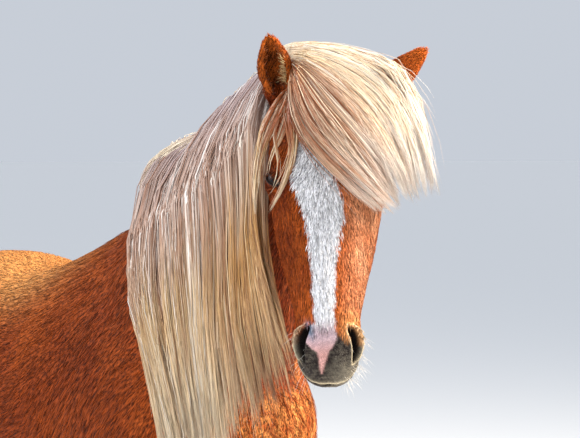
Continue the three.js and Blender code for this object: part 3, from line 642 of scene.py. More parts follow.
def nostrilLocal(points, side):  # along the nostril, towards the cheek, out
    axes = nostrilAxes(side)
    place = np.array(nostrilShape["place"], float) * [1, side, 1]
    local = (points - facePoint(place)) @ axes[[1, 2, 0]].T
    outwards = np.sign(axes[2] @ (faceLeft * side))
    local[:, 1] *= outwards
    return local


def nostrilDistance(local):
    along = local[:, 0] / nostrilShape["length"]
    middle = nostrilShape["bend"] * (0.55 - along**2)
    width = nostrilShape["width"] * np.sqrt(np.clip(1 - along**2, 0.02, 1)) * (1 - 0.25 * along)
    beside = np.abs(local[:, 1] - middle) - width
    beyond = (np.abs(along) - 1) * nostrilShape["length"]
    return np.where(np.abs(along) < 1, beside, np.hypot(np.maximum(beyond, 0), beside + width) - 1)


def mouthDistance(places):  # distance from the line of the mouth, and how far above it
    best = np.full(len(places), 1e3)
    above = np.zeros(len(places))
    sideways = np.array([1, -1, 1])
    for line in (mouthLine, mouthLine * sideways):
        for a, b in zip(line[:-1], line[1:]):
            t = np.clip(((places - a) @ (b - a)) / np.dot(b - a, b - a), 0, 1)
            nearest = a + t[:, None] * (b - a)
            distance = np.linalg.norm(places - nearest, axis=1)
            closer = distance < best
            best = np.where(closer, distance, best)
            above = np.where(closer, places[:, 2] - nearest[:, 2], above)
    return best, above


def hump(distance, middle, width):  # 1 at the middle, falling off on both sides
    return np.exp(-(((distance - middle) / width) ** 2))


def shapeHead(skin):
    mesh = skin.data
    points = bodyPoints(mesh)
    places = faceCoordinates(points)
    lift = np.zeros(len(points))
    for down, left, out, reachDown, reachLeft, reachOut, rise in headForms:
        for side in (1, -1) if left else (1,):
            away = (places - [down, side * left, out]) / [reachDown, reachLeft, reachOut]
            lift += rise * np.exp(-(away**2).sum(1))
    lift = lift * ((places[:, 0] > 60) & (places[:, 2] > -260))
    setPoints(mesh, placed(points + meshNormals(mesh) * lift[:, None]))

    # finer faces round the eyes, the nostrils and the mouth, in two steps
    for reach in ({"eye": 42, "nostril": 36, "mouth": 24}, {"eye": 8, "nostril": 7, "mouth": 5}):
        points = bodyPoints(mesh)
        places = faceCoordinates(points)
        fine = (mouthDistance(places)[0] < reach["mouth"]) & (places[:, 0] > 425)
        for side in (1, -1):
            eye = eyeLocal(points, side)
            near = np.linalg.norm(eye, axis=1) < 46
            fine |= near & (lidDistance(eye) < reach["eye"]) & (eye[:, 2] > -8)
            nostril = nostrilLocal(points, side)
            close = np.linalg.norm(nostril, axis=1) < 45
            fine |= close & (nostrilDistance(nostril) < reach["nostril"])
        subdivideNear(mesh, fine)

    # mouth: a groove with the lips swelling on both sides
    points = bodyPoints(mesh)
    places = faceCoordinates(points)
    mouth, _ = mouthDistance(places)
    groove = sum(rise * hump(mouth, *place) for rise, *place in lipShape.values())
    groove = groove * smoothStep(425, 462, places[:, 0]) * (places[:, 0] > 415)
    points = points + meshNormals(mesh) * groove[:, None]

    rough = np.zeros(len(points))
    for side in (1, -1):
        # nostril: a pit with a swollen rim
        nostril = nostrilLocal(points, side)
        near = np.linalg.norm(nostril, axis=1) < 50
        distance = nostrilDistance(nostril)
        rim = mix(*nostrilShape["rim"], smoothStep(-2, 8, nostril[:, 1]))
        rim = rim * hump(distance, *nostrilShape["rimShape"])
        pit = nostrilShape["depth"] * smoothStep(1.0, -5.5, distance)
        points = points + ((rim - pit) * near)[:, None] * nostrilAxes(side)[0]
        # eye: lids over the ball, with a crease above them and an open socket between them
        local = eyeLocal(points, side)
        wide = np.hypot(local[:, 0], local[:, 1])
        close = (wide < lidShape["blend"]) & (local[:, 2] > -12)
        dome = np.sqrt(lidShape["ball"] ** 2 - np.minimum(wide, 20) ** 2) - 0.9 * np.maximum(wide - 20, 0)
        gap = lidDistance(local)
        fold, edge = [rise * hump(gap, *at) for rise, *at in (lidShape["crease"], lidShape["edge"])]
        fold = fold * (local[:, 1] > 0)
        blended = mix(dome, local[:, 2], smoothStep(17, 38, wide)) + (fold + edge) * (wide < 36)
        socket = np.sqrt(np.maximum(lidShape["socket"] ** 2 - wide**2, 9)) - lidShape["socketDepth"]
        target = mix(blended, np.minimum(blended, socket), smoothStep(0.5, -0.7, gap))
        local[:, 2] = np.where(close, target, local[:, 2])
        points = np.where(close[:, None], eyeWorld(local, side), points)
    setPoints(mesh, placed(points))
    for side in (1, -1):
        local = eyeLocal(points, side)
        ring = hump(np.hypot(local[:, 0], local[:, 1]), 27, 6) * (np.abs(local[:, 2]) < 30)
        nostril = nostrilLocal(points, side)
        inner = (np.linalg.norm(nostril, axis=1) < 40) * smoothStep(1, -2, nostrilDistance(nostril))
        rough = np.maximum(rough, np.maximum(ring, inner))
    relaxed(mesh, 6, rough)


# Ears: a leaf-shaped cup each, its wall folded round the opening

earTable = np.array([
    [-0.22, 16, 16, 0.1],
    [0.0, 21, 20, 0.12],
    [0.1, 24, 21, 0.3],
    [0.2, 26, 22, 0.62],
    [0.42, 31.5, 20, 0.8],
    [0.62, 29, 15, 0.78],
    [0.8, 21, 10, 0.74],
    [0.93, 13.5, 6.5, 0.66],
    [1.0, 5, 3, 0.6],
], float)
earShapes = {
    "right": {"base": [48, -79, -30], "tip": [656, -136, 1760], "opens": [0.81, -0.58, 0.05]},
    "left": {"base": [58, 73, -30], "tip": [777, 108, 1741], "opens": [-0.45, 0.62, -0.5]},
}
earOpening = 2.35  # half angle of the wall round the back of the cup


def earFrame(ear):
    base = facePoint(ear["base"])
    axis = np.array(ear["tip"], float) - base
    up, opens, across = axesFrom(axis, np.array(ear["opens"]))
    return base, np.linalg.norm(axis), up, opens, across


def earRings(ear, stations=46, half=22):
    base, length, up, opens, across = earFrame(ear)
    rows = evenRows(earTable, stations)
    angle = np.linspace(-earOpening, earOpening, half)
    outer = np.stack([np.sin(angle), -np.cos(angle)], 1)
    ring = np.concatenate([outer, outer[::-1]])
    rings = []
    for height, width, depth, hollow in rows:
        scale = np.concatenate([np.ones(half), np.full(half, hollow)])
        place = ring * scale[:, None]
        place[half:, 1] += (1 - hollow) * 0.62
        rings.append(
            base
            + up * height * length
            + across * (place[:, :1] * (width - 1))
            + opens * (place[:, 1:] * (depth - 1))
        )
    return np.array(rings)


def addEars(skin):
    for ear in earShapes.values():
        obj = joinedLofts("ear", [earRings(ear)])
        applyModifier(skin, "BOOLEAN", object=obj, operation="UNION", solver="EXACT")
        bpy.data.objects.remove(obj)


print("stage: skin")
skin = makeSkin()
shapeHead(skin)
addEars(skin)
print("skin faces", len(skin.data.polygons))
shadeSmooth(skin.data)
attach(skin, "root")
fleshNodes = ["torso", "neck", "head", "ear_left", "ear_right"]
for kind, side in legKeys:
    fleshNodes += [f"leg_{part}_{kind}_{sideName(side)}" for part in ("upper", "lower")]
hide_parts(*fleshNodes)


# Reach of the skin: how far it stands out to each side, and out of the face

rayStart = 900  # well outside the skin on every side


def skinSurface(mesh):
    mesh.calc_loop_triangles()
    corners = np.empty(len(mesh.loop_triangles) * 3, np.int32)
    mesh.loop_triangles.foreach_get("vertices", corners)
    points, triangles = bodyPoints(mesh), corners.reshape(-1, 3)
    return BVHTree.FromPolygons(points.tolist(), triangles.tolist()), points, triangles


tree, skinPoints, skinTriangles = skinSurface(skin.data)
skinNormals = meshNormals(skin.data)


def reachMap(low, high, step, toStart, direction, nothing):  # a grid of ray hits, read between its points
    low = np.array(low, float)
    values = np.full(((np.array(high) - low) / step).astype(int) + 1, float(nothing))
    for i, j in np.ndindex(*values.shape):
        start = toStart(low[0] + i * step, low[1] + j * step)
        hit = tree.ray_cast(Vector(start), Vector(direction))
        if hit[0] is not None:
            values[i, j] = rayStart - hit[3]

    def reachAt(first, second):
        last = np.array(values.shape) - 1.001
        a = np.clip((first - low[0]) / step, 0, last[0])
        b = np.clip((second - low[1]) / step, 0, last[1])
        i, j = a.astype(int), b.astype(int)
        s, t = a - i, b - j
        near = values[i, j] * (1 - s) + values[i + 1, j] * s
        return near * (1 - t) + (values[i, j + 1] * (1 - s) + values[i + 1, j + 1] * s) * t

    return reachAt


print("stage: reach maps")
sideGrid = {"low": (-200, 780), "high": (900, 1830), "step": 8, "nothing": 0}
rightReach = reachMap(toStart=lambda x, z: (x, -rayStart, z), direction=(0, 1, 0), **sideGrid)
leftReach = reachMap(toStart=lambda x, z: (x, rayStart, z), direction=(0, -1, 0), **sideGrid)
faceReach = reachMap((-120, -260), (620, 260), 6, lambda d, l: facePoint([d, l, rayStart]), -faceOut, -220)


# Strands: thin three-sided solids that taper to a point, for the mane, the tail and the fur

rng = np.random.default_rng(11)  # every random draw comes from here, in the order of the pieces


def bakePlace(points):
    # where a strand's patch lies in the unwrap: by the part of the body, along it and round its axis
    places = faceCoordinates(points)
    x, y, z = points.T

    def turned(up, out):
        return np.arctan2(up, out) * (0.5 / np.pi) + 0.5

    u = 0.02 + 0.55 * np.clip((x + 1160) / 1700, 0, 1)
    v = 0.03 + 0.44 * turned(y, z - 1080)
    neck = (x > 90) & (z > 1150 + 0.2 * (x - 90))
    u = np.where(neck, 0.02 + 0.3 * np.clip(x / 720, 0, 1), u)
    v = np.where(neck, 0.53 + 0.44 * turned(y, z - (1236 + 0.62 * (x - 120))), v)
    head = (places[:, 0] > 10) & (places[:, 2] > -240) & (x > 540)
    u = np.where(head, 0.35 + 0.3 * np.clip(places[:, 0] / 600, 0, 1), u)
    v = np.where(head, 0.53 + 0.44 * turned(places[:, 1], places[:, 2] + 80), v)
    leg, front, left = z < 790, x > -300, y > 0
    tile = np.where(front, 0.0, 0.5) + np.where(left, 0.25, 0)
    u = np.where(leg, 0.7 + 0.28 * np.clip(z / 800, 0, 1), u)
    roundLeg = turned(y - np.where(left, 115, -115), x - np.where(front, 105, -930))
    return np.stack([u, np.where(leg, 0.02 + tile + 0.2 * roundLeg, v)], 1)


unwrapPatch = 0.003  # side of one strand's patch in the unwrap
strandPieces = {}


def strandPiece(name, centres, halfWidths, flatness, across, colours):
    # centres by strand and ring; the directions across and the colours may be one for each strand
    count, rings = centres.shape[:2]
    halfWidths = np.broadcast_to(halfWidths, (count, rings))
    across = across[:, None] if across.ndim == 2 else across
    colours = np.broadcast_to(colours[:, None] if colours.ndim == 2 else colours, (count, rings, 3))
    along = unit(np.gradient(centres, axis=1))
    out = unit(np.cross(across, along))
    half = np.cross(along, out) * halfWidths[..., None]
    thickness = (halfWidths * flatness)[..., None]
    low, high = -0.35 * thickness * out, 0.65 * thickness * out
    corners = np.stack([centres - half + low, centres + high, centres + half + low], 2)[:, :-1]
    each = (rings - 1) * 3 + 1
    points = np.concatenate([corners.reshape(count, -1, 3), centres[:, -1:]], 1)
    ring, side = np.meshgrid(np.arange(rings - 2), np.arange(3), indexing="ij")
    a, b = ring * 3 + side, ring * 3 + (side + 1) % 3
    quads = np.stack([a, b, b + 3, a + 3], -1).reshape(-1, 4)
    last = (rings - 2) * 3
    side = np.arange(3)
    tips = np.stack([last + side, last + (side + 1) % 3, 0 * side + each - 1], 1)
    triangles = np.concatenate([[[0, 2, 1]], tips])
    first = (np.arange(count) * each)[:, None, None]
    faces = [(quads[None] + first).reshape(-1, 4), (triangles[None] + first).reshape(-1, 3)]
    mesh = meshFromArrays(name, placed(points.reshape(-1, 3)), faces)

    # each strand has a patch of its own in the unwrap: across it the three sides, up it the rings
    def patchCorners(right, up, corners):
        return np.stack([np.stack([right + r / 3, up + u / rings], 1) for r, u in corners], 1)

    square = ((0, 0), (1, 0), (1, 1), (0, 1))
    quadPatch = patchCorners(np.tile(side / 3, rings - 2), ring.ravel() / rings, square)
    tipPatch = patchCorners(side / 3, 0 * side + (rings - 2) / rings, ((0, 0), (1, 0), (0.5, 1)))
    rootPatch = np.array([[[0, 0.98], [0.1, 0.98], [0.05, 1.0]]])
    corner = bakePlace(points[:, 0])[:, None, None]
    quadUv = corner + unwrapPatch * quadPatch[None]
    triangleUv = corner + unwrapPatch * np.concatenate([rootPatch, tipPatch])[None]
    layer = mesh.uv_layers.new(name="OFBake")
    layer.data.foreach_set("uv", np.concatenate([quadUv.ravel(), triangleUv.ravel()]).astype(np.float32))
    tints = np.concatenate([np.repeat(colours[:, :-1], 3, 1), colours[:, -1:]], 1)
    addTint(mesh, tints.reshape(-1, 3))
    piece = newObject(name, mesh)
    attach(piece, "root")
    strandPieces[name] = piece
    return piece


def alongStrand(rings, places=None):
    return np.linspace(0, 1, rings) if places is None else np.array(places) / places[-1]


def throughNodes(nodes, rings, places=None):  # (strands, nodes, 3) to smooth paths of that many rings
    count, steps = nodes.shape[:2]
    table = nodes.transpose(1, 0, 2).reshape(steps, -1)
    path = rowsAt(table, alongStrand(rings, places) * (steps - 1))
    return path.reshape(rings, count, 3).transpose(1, 0, 2)


def taperedWidths(widths, rings, root=0.55, full=0.25, fade=0.35):  # half widths, thinner at root and tip
    t = np.linspace(0, 1, rings)
    shape = (root + (1 - root) * smoothStep(0, full, t)) * (1 - (1 - fade) * smoothStep(0.55, 1, t))
    return widths[:, None] * shape / 2


def inShares(table, share):  # rows of a (rows, 2) table of share and value
    return np.interp(share, table[:, 0], table[:, 1])


def crestPoint(share):
    return rowsAt(neckTable[:, :3], share * (len(neckTable) - 1))


hairColours = linearColours(
    white="#FBF4EA",
    # silver: a cool tint that stands for sky light on the top of the mane, painted into the hair
    silver="#BDB0B8",
    cream="#FBEACB",
    straw="#E0BE82",
    beige="#BFA290",
    gold="#CC9040",
    tan="#9C6A4A",
    brown="#6B4228",
    rust="#A2572B",
)

# In each hair dictionary, spread is how far a strand strays from its lock in share, depth, reachScale,
# phase and shift, stray and straying are where its loose strands lean and how far in mm, palette is
# the colour of root, middle, low and tip, then of the painted shade in the gaps between strands and of
# the lightest hairs, and the gap shade entry is how deep that painted shade is
maneSizes = {
    "first": 0.24,
    "last": 0.95,
    "lastRoot": 0.8,
    "combed": 0.09,
    "rootSide": [36, -26],
    "rootRise": [-58, -16],
    "archSide": [58, 0],
    "lift": [9, 50],
    "locks": 210,
    "strands": 5600,
    "rings": 12,
    "places": [0, 0.8, 1.4, 1.8, 2.2, 2.7, 3.4, 4.4, 5.7, 7.1, 8.5, 10],
    "width": 2.7,
    "fade": 0.75,
    "depthPower": 0.8,
    "reachScale": [0.84, 1.02],
    "shift": 7,
    "shiftLimits": [-9, 16],
    "shuffled": True,
    "spread": [0.014, 0.08, 0.08, 0.16, 3],
    "clump": 0.77,
    "stray": [0.3, -1, 0],
    "straying": 9,
    # the silver near the roots is painted cool sky light on the top of the mane
    "palette": ["silver", "beige", "straw", "cream", "tan", "white"],
}
# height of the hair's arch over the crest, along it from the withers to the poll
crestArch = np.array([
    [0.1, 112], [0.2, 108], [0.262, 96], [0.33, 80], [0.4, 64], [0.45, 74], [0.5, 84], [0.58, 86],
    [0.66, 84], [0.8, 76], [0.95, 62],
], float)
# height of a place on the hanging mane, then how far forward it lies, from the rear locks to the front ones
maneFall = np.array([
    [1600, 92, 235, 424, 555, 610], [1500, 136, 300, 445, 552, 606], [1400, 222, 328, 450, 548, 612],
    [1300, 270, 348, 450, 546, 640], [1200, 322, 372, 458, 572, 690], [1100, 374, 412, 476, 600, 720],
    [1000, 420, 450, 496, 620, 730],
], float)
# share of the way from the rear locks to the front ones, height of the tips
maneTips = np.array([[0, 985], [0.25, 1000], [0.5, 1030], [0.7, 1100], [0.85, 1165], [1, 1240]], float)


def fallPlace(share, height):
    columns = np.stack([np.interp(-height, -maneFall[:, 0], column) for column in maneFall[:, 1:].T])
    place = np.clip(share, 0, 1) * (len(columns) - 1)
    low = np.minimum(place.astype(int), len(columns) - 2)
    each = np.arange(len(share))
    return mix(columns[low, each], columns[low + 1, each], place - low)


def manePaths(share, depth, reachScale, phase, shift):
    # from the crest back over its arch, as if combed, then down beside the neck
    steps = 8
    row = mix(maneSizes["first"], maneSizes["last"], share)
    row = np.minimum(row, maneSizes["lastRoot"] + 0.2 * (row - maneSizes["lastRoot"]))
    combed = maneSizes["combed"] * (1 - share)
    arch = mix(-28, inShares(crestArch, row) - 9, depth)
    zero = 0 * share

    def over(back, aside, rise):
        return crestPoint(row + back * combed) + np.stack([zero, -aside, rise], 1)

    nodes = [
        over(1.0, mix(*maneSizes["rootSide"], depth), mix(*maneSizes["rootRise"], depth)),
        over(0.45, mix(46, -16, depth), arch - 18),
        over(0.0, mix(*maneSizes["archSide"], depth), arch),
    ]
    root = nodes[-1]
    reach, top = -root[:, 1], root[:, 2]
    length = (top - inShares(maneTips, share)) * reachScale
    lift = mix(*maneSizes["lift"], depth)
    for k in range(1, steps + 1):
        t = k / steps
        fall = t * length
        ripple = np.sin(phase + fall / 34) * (8 + 4 * np.sin(phase * 3))
        wave = (np.sin(share * 5 + t * 7 + 2) * 6 + ripple) * t
        z = top - fall
        x = mix(root[:, 0], fallPlace(share, z), smoothStep(0, 130, fall)) + wave + shift * t
        stand = lift * (1 - 0.25 * t) + np.cos(phase * 1.7 + fall / 40) * 4 * t
        reach = np.maximum(np.maximum(reach * 0.985, rightReach(x, z) + 5 + stand), 30 + stand)
        nodes.append(np.stack([x, -reach, z], 1))
    return np.stack(nodes, 1)


lockHabits = {"loose": 0.18, "stray": 0.07, "strayWidth": 0.55}  # shares of the strands, and of their width


def growLocks(pathOf, sizes):
    # each strand follows its own path and is drawn towards its lock's middle line near the tip
    locks, count, rings = sizes["locks"], sizes["strands"], sizes["rings"]
    places = sizes.get("places")
    params = {
        "share": (np.arange(locks) + rng.random(locks)) / locks,
        "depth": rng.random(locks) ** sizes.get("depthPower", 1),
        "reachScale": rng.uniform(*sizes["reachScale"], locks),
        "phase": rng.uniform(0, 6.3, locks),
        "shift": rng.normal(0, sizes["shift"], locks),
    }
    if "shiftLimits" in sizes:
        params["shift"] = np.clip(params["shift"], *sizes["shiftLimits"])
    if sizes.get("shuffled"):
        params["depth"] = params["depth"][rng.permutation(locks)]
    ids = np.sort(rng.integers(0, locks, count))
    own = {}
    for (key, value), spread in zip(params.items(), sizes["spread"]):
        own[key] = value[ids] + rng.normal(0, 1, count) * spread
    for key in ("share", "depth"):
        own[key] = np.clip(own[key], 0, 1)
    paths = throughNodes(pathOf(**own), rings, places)
    middle = throughNodes(pathOf(**params), rings, places)[ids]
    t = alongStrand(rings, places)[None, :, None]
    loose = (rng.random(count) < lockHabits["loose"])[:, None, None]
    pull = sizes["clump"] * smoothStep(0.12, 0.9, t) * np.where(loose, 0.15, 1)
    away = rng.normal(0, 0.6, (count, 1, 3))
    away = away + np.asarray(sizes["stray"]) * rng.uniform(0.2, 1, (count, 1, 1))
    strayed = rng.random(count) < lockHabits["stray"]
    away = away * sizes["straying"] * strayed[:, None, None]
    size = np.where(strayed, lockHabits["strayWidth"], 1) * rng.uniform(0.7, 1.25, count)
    own["width"] = taperedWidths(size * sizes["width"], rings, fade=sizes.get("fade", 0.35))
    own["lockTone"] = rng.normal(*sizes.get("tone", (0, 1)), locks)[ids]
    own["strandTone"] = rng.normal(0, 1, count)
    return mix(paths, middle, pull) + away * t**1.5, own


def hairTint(own, sizes, gapShade=None, golden=0):  # the gap shade argument: how deep the painted shade between strands is, 0 to 1
    t = alongStrand(sizes["rings"], sizes.get("places"))[None, :, None]
    gapShade = sizes["gapShade"] if gapShade is None else gapShade
    root, middle, low, tip, shade, light = [hairColours[key] for key in sizes["palette"]]
    golden = np.clip(golden, 0, 1)
    colour = mix(root, middle, smoothStep(0.1, 0.42, t))
    colour = mix(colour, low, smoothStep(0.48, 0.8, t))
    colour = mix(colour, hairColours["gold"], golden * smoothStep(0.46, 0.82, t))
    shade = mix(shade, hairColours["brown"], 0.6 * golden)
    light = mix(light, hairColours["straw"], 0.8 * golden * smoothStep(0.3, 0.7, t))
    # lighter tips: partly the hair's own paler ends, partly painted sunlight on them
    colour = mix(colour, tip, smoothStep(0.76, 0.95, t) * (1 - 0.55 * golden))
    lockTone, strandTone, depth = [own[key][:, None, None] for key in ("lockTone", "strandTone", "depth")]
    wander = 0.1 * np.sin(t * 6 + 9 * lockTone) + 0.1 * np.sin(t * 11 + 7 * strandTone)
    tone = np.clip(0.52 + 0.14 * lockTone + 0.2 * strandTone + wander, 0, 1)
    # painted shade in the gaps: strands lying deeper under the others get darker, on top of their random
    # darker tone; towards the tips that shade eases, as painted sunlight on them
    deep = np.clip((1 - depth) ** 0.8 * gapShade + 0.85 * (1 - tone) ** 1.7, 0, 0.96)
    deep = deep * (1 - 0.6 * smoothStep(0.8, 1, t) * (1 - golden))
    return mix(mix(colour, shade, deep), light, 0.7 * smoothStep(0.6, 1.0, tone))


def makeMane():
    paths, own = growLocks(manePaths, maneSizes)
    count, share = len(paths), own["share"]
    # the rear locks darker: partly their own tan, partly painted shade
    own["lockTone"] = own["lockTone"] - 0.5 * smoothStep(0.3, 0.1, share)
    # gold towards the front locks: partly the hair's own gold, partly painted warm sunlight
    golden = 1.3 * smoothStep(0.45, 0.85, share)[:, None, None]
    # painted shade between strands: deeper in the gold part, less at the front edge
    gapShade = (0.45 + 0.4 * golden) * (1 - 0.7 * smoothStep(0.8, 0.97, share)[:, None, None])
    colours = hairTint(own, maneSizes, gapShade, golden)
    across = unit(np.stack([np.ones(count), rng.normal(0.15, 0.3, count), rng.normal(0, 0.1, count)], 1))
    for name, part in (("mane_back", slice(0, count // 2)), ("mane_front", slice(count // 2, count))):
        strandPiece(name, paths[part], own["width"][part], 0.9, across[part], colours[part])


crestSizes = {
    "first": 0.13,
    "last": 0.95,
    "travel": [0.14, 0.3],
    "side": [-20, 34],
    "thick": 26,
    "length": [50, 170],
    "locks": 70,
    "strands": 2400,
    "rings": 10,
    "width": 2.4,
    "reachScale": [0, 1],
    "shift": 5,
    "spread": [0.03, 0.2, 0.12, 0.25, 3],
    "clump": 0.5,
    "stray": [0, -0.3, 1.0],
    "straying": 15,
    # the silver is painted cool sky light on the top of the crest
    "palette": ["silver", "cream", "silver", "beige", "beige", "cream"],
    "gapShade": 0.8,
}


def crestPaths(share, depth, reachScale, phase, shift):
    # up from the crest, back along it under one smooth outline, then over to the left and down
    row = mix(crestSizes["first"], crestSizes["last"], share)
    travel = np.minimum(mix(*crestSizes["travel"], reachScale), row - 0.11)
    length = mix(*crestSizes["length"], reachScale) * (0.7 + 0.5 * share)
    sink = (1 - depth) * crestSizes["thick"]
    nodes = []
    for back, rise in ((0, -0.3), (0.15, 0.3), (0.35, 0.74), (0.6, 0.96), (0.85, 1.0), (1.0, 0.88)):
        here = row - back * travel
        side = mix(*crestSizes["side"], back**1.3) + shift * back
        height = (inShares(crestArch, here) - sink) * rise
        nodes.append(crestPoint(here) + np.stack([0 * share, side, height], 1))
    last = nodes[-1]
    for k in range(1, 5):
        t = k / 4
        curl = np.sin(phase + t * 3.6) * 6 * t
        x = last[:, 0] - 20 * np.sin(t * 2.6) + curl
        z = last[:, 2] - length * t
        reach = np.maximum(leftReach(x, z) + 17 - sink, last[:, 1] + 20 * np.sqrt(t) - 8 * t)
        nodes.append(np.stack([x, reach, z], 1))
    return np.stack(nodes, 1)


def makeCrestHair():
    paths, own = growLocks(crestPaths, crestSizes)
    crest = evenRows(neckTable[:, :3], 60)
    core = np.stack([np.interp(paths[..., 0], crest[:, 0], crest[:, k]) for k in range(3)], -1)
    out = (paths - core + [0, 0, 50]) * [0, 1, 1] + rng.normal(0, 12, (len(paths), 1, 3))
    across = unit(np.cross(np.gradient(paths, axis=1), out))
    strandPiece("mane_crest", paths, own["width"], 0.9, across, hairTint(own, crestSizes))


rollSizes = {
    "outer": np.array([
        [300, -20, 1622], [246, -14, 1604], [186, -16, 1592], [128, -26, 1572],
        [86, -38, 1541], [80, -50, 1502], [107, -60, 1462], [156, -68, 1425],
    ], float),
    "inner": np.array([
        [354, -25, 1614], [314, -38, 1584], [278, -52, 1557], [243, -62, 1528],
        [225, -74, 1491], [222, -84, 1448], [235, -92, 1397], [256, -96, 1344],
    ], float),
    "locks": 22,
    "strands": 620,
    "rings": 10,
    "width": 2.3,
    "reachScale": [0.8, 1],
    "shift": 3,
    "spread": [0.04, 0.2, 0.06, 0.25, 2],
    "clump": 0.6,
    "stray": [-0.7, 0, 0.7],
    "straying": 12,
    "palette": ["beige", "cream", "beige", "tan", "brown", "cream"],
    "gapShade": 0.4,
}


def rollPaths(share, depth, reachScale, phase, shift):
    # a thick lock that lies back along the crest, turns over at the withers and hangs in front of them
    steps = len(rollSizes["outer"]) - 1
    nodes = []
    for k in range(steps + 1):
        t = k / steps
        place = t * steps * np.clip(reachScale, 0.6, 1)
        rows = mix(rowsAt(rollSizes["outer"], place), rowsAt(rollSizes["inner"], place), share[:, None])
        swing = np.sin(phase + t * 5) * 4 * t + shift * t
        bow = (1 - depth) * 16 * np.sin(np.pi * min(1, t * 1.4 + 0.15))
        nodes.append(rows + np.stack([swing, bow - 6, np.cos(phase + t * 4) * 3 * t], 1))
    return np.stack(nodes, 1)


def makeRoll():
    paths, own = growLocks(rollPaths, rollSizes)
    own["lockTone"] = own["lockTone"] - 1.6 * (own["share"] - 0.2)
    out = np.array([-0.35, -0.8, 0.5]) + rng.normal(0, 0.2, (len(paths), 1, 3))
    across = unit(np.cross(np.gradient(paths, axis=1), out))
    strandPiece("mane_roll", paths, own["width"], 0.9, across, hairTint(own, rollSizes))


# places on the head: down the face, to the left, out
forelockSizes = {
    "inner": np.array([
        [42, -54, -10], [62, -60, 30], [112, -56, 40], [166, -40, 44],
        [214, -10, 44], [260, 30, 40], [302, 82, 18],
    ], float),
    "outer": np.array([
        [-24, -76, -26], [-30, -36, 4], [-16, 34, 12], [4, 94, 4],
        [50, 140, -6], [120, 168, -30], [224, 178, -54],
    ], float),
    "locks": 150,
    "strands": 3400,
    "rings": 10,
    "width": 2.0,
    "reachScale": [0.78, 1.05],
    "shift": 7,
    "shuffled": True,
    "spread": [0.02, 0.1, 0.06, 0.25, 4],
    "clump": 0.6,
    "stray": faceOut,
    "straying": 30,
    "palette": ["straw", "cream", "cream", "white", "tan", "white"],
    "gapShade": 0.75,
}
eyeLockSizes = {
    "rear": np.array([
        [44, -62, -8], [86, -79, 30], [138, -105, 26], [176, -116, 8],
        [214, -122, -4], [248, -124, -14], [282, -123, -22],
    ], float),
    "front": np.array([
        [42, -54, -8], [86, -52, 36], [140, -48, 38], [182, -54, 26],
        [216, -61, 12], [250, -77, -2], [284, -98, -16],
    ], float),
    "locks": 26,
    "strands": 700,
    "rings": 9,
    "width": 1.7,
    "reachScale": [0.55, 1.0],
    "shift": 4,
    "spread": [0.03, 0.2, 0.08, 0.2, 1.5],
    "clump": 0.72,
    "stray": faceOut,
    "straying": 12,
    "tone": [0.1, 1.1],
    "palette": ["rust", "rust", "straw", "cream", "rust", "cream"],
    "gapShade": 0.5,
}


def forelockPaths(share, depth, reachScale, phase, shift):
    steps = len(forelockSizes["inner"]) - 1
    nodes = []
    for k in range(steps + 1):
        t = k / steps
        place = t * steps * np.clip(reachScale, 0.5, 1.05)
        edges = [rowsAt(forelockSizes[key], place) for key in ("inner", "outer")]
        rows = mix(*edges, share[:, None])
        rows[:, 1] += shift * t + np.sin(phase + t * 5) * 7 * t
        rows[:, 0] += np.cos(phase + t * 4.5) * 6 * t
        rise = depth * 27
        if k > 0:
            skinOut = faceReach(rows[:, 0], rows[:, 1])
            rows[:, 2] = np.maximum(rows[:, 2] + rise, skinOut + 7 + rise)
        else:
            rows[:, 0] -= rise * 1.2
        nodes.append(facePoint(rows))
    return np.stack(nodes, 1)


def eyeLockPaths(share, depth, reachScale, phase, shift):
    # parted round the eye
    rear, front = eyeLockSizes["rear"], eyeLockSizes["front"]
    parted = np.where(share < 0.5, share * 0.3, 0.92 + (share - 0.5) * 0.3)
    nodes = []
    for k in range(len(rear)):
        t = k / (len(rear) - 1)
        place = t * (len(rear) - 1) * np.clip(reachScale, 0.5, 1)
        side = mix(share, parted, smoothStep(1.2, 3.0, place))
        rows = mix(rowsAt(rear, place), rowsAt(front, place), side[:, None])
        rows[:, 1] += (shift + np.sin(phase + t * 4) * 3) * t * (1 - 0.6 * smoothStep(2, 3, place))
        if k > 0:
            rows[:, 2] = np.maximum(rows[:, 2], faceReach(rows[:, 0], rows[:, 1]) + 5) + depth * 8
        nodes.append(facePoint(rows))
    return np.stack(nodes, 1)


def makeForelock():
    paths, own = growLocks(forelockPaths, forelockSizes)
    count, share = len(paths), own["share"][:, None, None]
    # painted light: the forelock gets lighter towards its outer locks, the side the light falls on
    own["lockTone"] = own["lockTone"] + (own["share"] - 0.4) * 2.6
    colours = hairTint(own, forelockSizes)
    # brown in the shade of the ear, sunlit at the roots beyond it
    t = alongStrand(forelockSizes["rings"])[None, :, None]
    shaded = smoothStep(0.66, 0.32, share) * smoothStep(1.15, 0.45, t)
    browner = np.where(rng.random((count, 1, 1)) < 0.82, 1, 0.15) * rng.uniform(0.75, 1, (count, 1, 1))
    brown = mix(hairColours["rust"], hairColours["brown"], rng.random((count, 1, 1)))
    colours = mix(colours, brown, shaded * browner)
    sunlit = smoothStep(0.35, 0.7, share) * smoothStep(0.3, 0, t)
    colours = mix(colours, hairColours["cream"], 0.8 * sunlit * own["depth"][:, None, None] ** 0.5)
    across = unit(0.8 * (faceDown * 0.7 - faceLeft * 0.5) + rng.normal(0, 0.25, (count, 3)))
    strandPiece("forelock", paths, own["width"], 0.9, across, colours)

    paths, own = growLocks(eyeLockPaths, eyeLockSizes)
    across = unit(faceLeft + rng.normal(0, 0.2, (len(paths), 3)))
    strandPiece("forelock_right", paths, own["width"], 0.9, across, hairTint(own, eyeLockSizes))


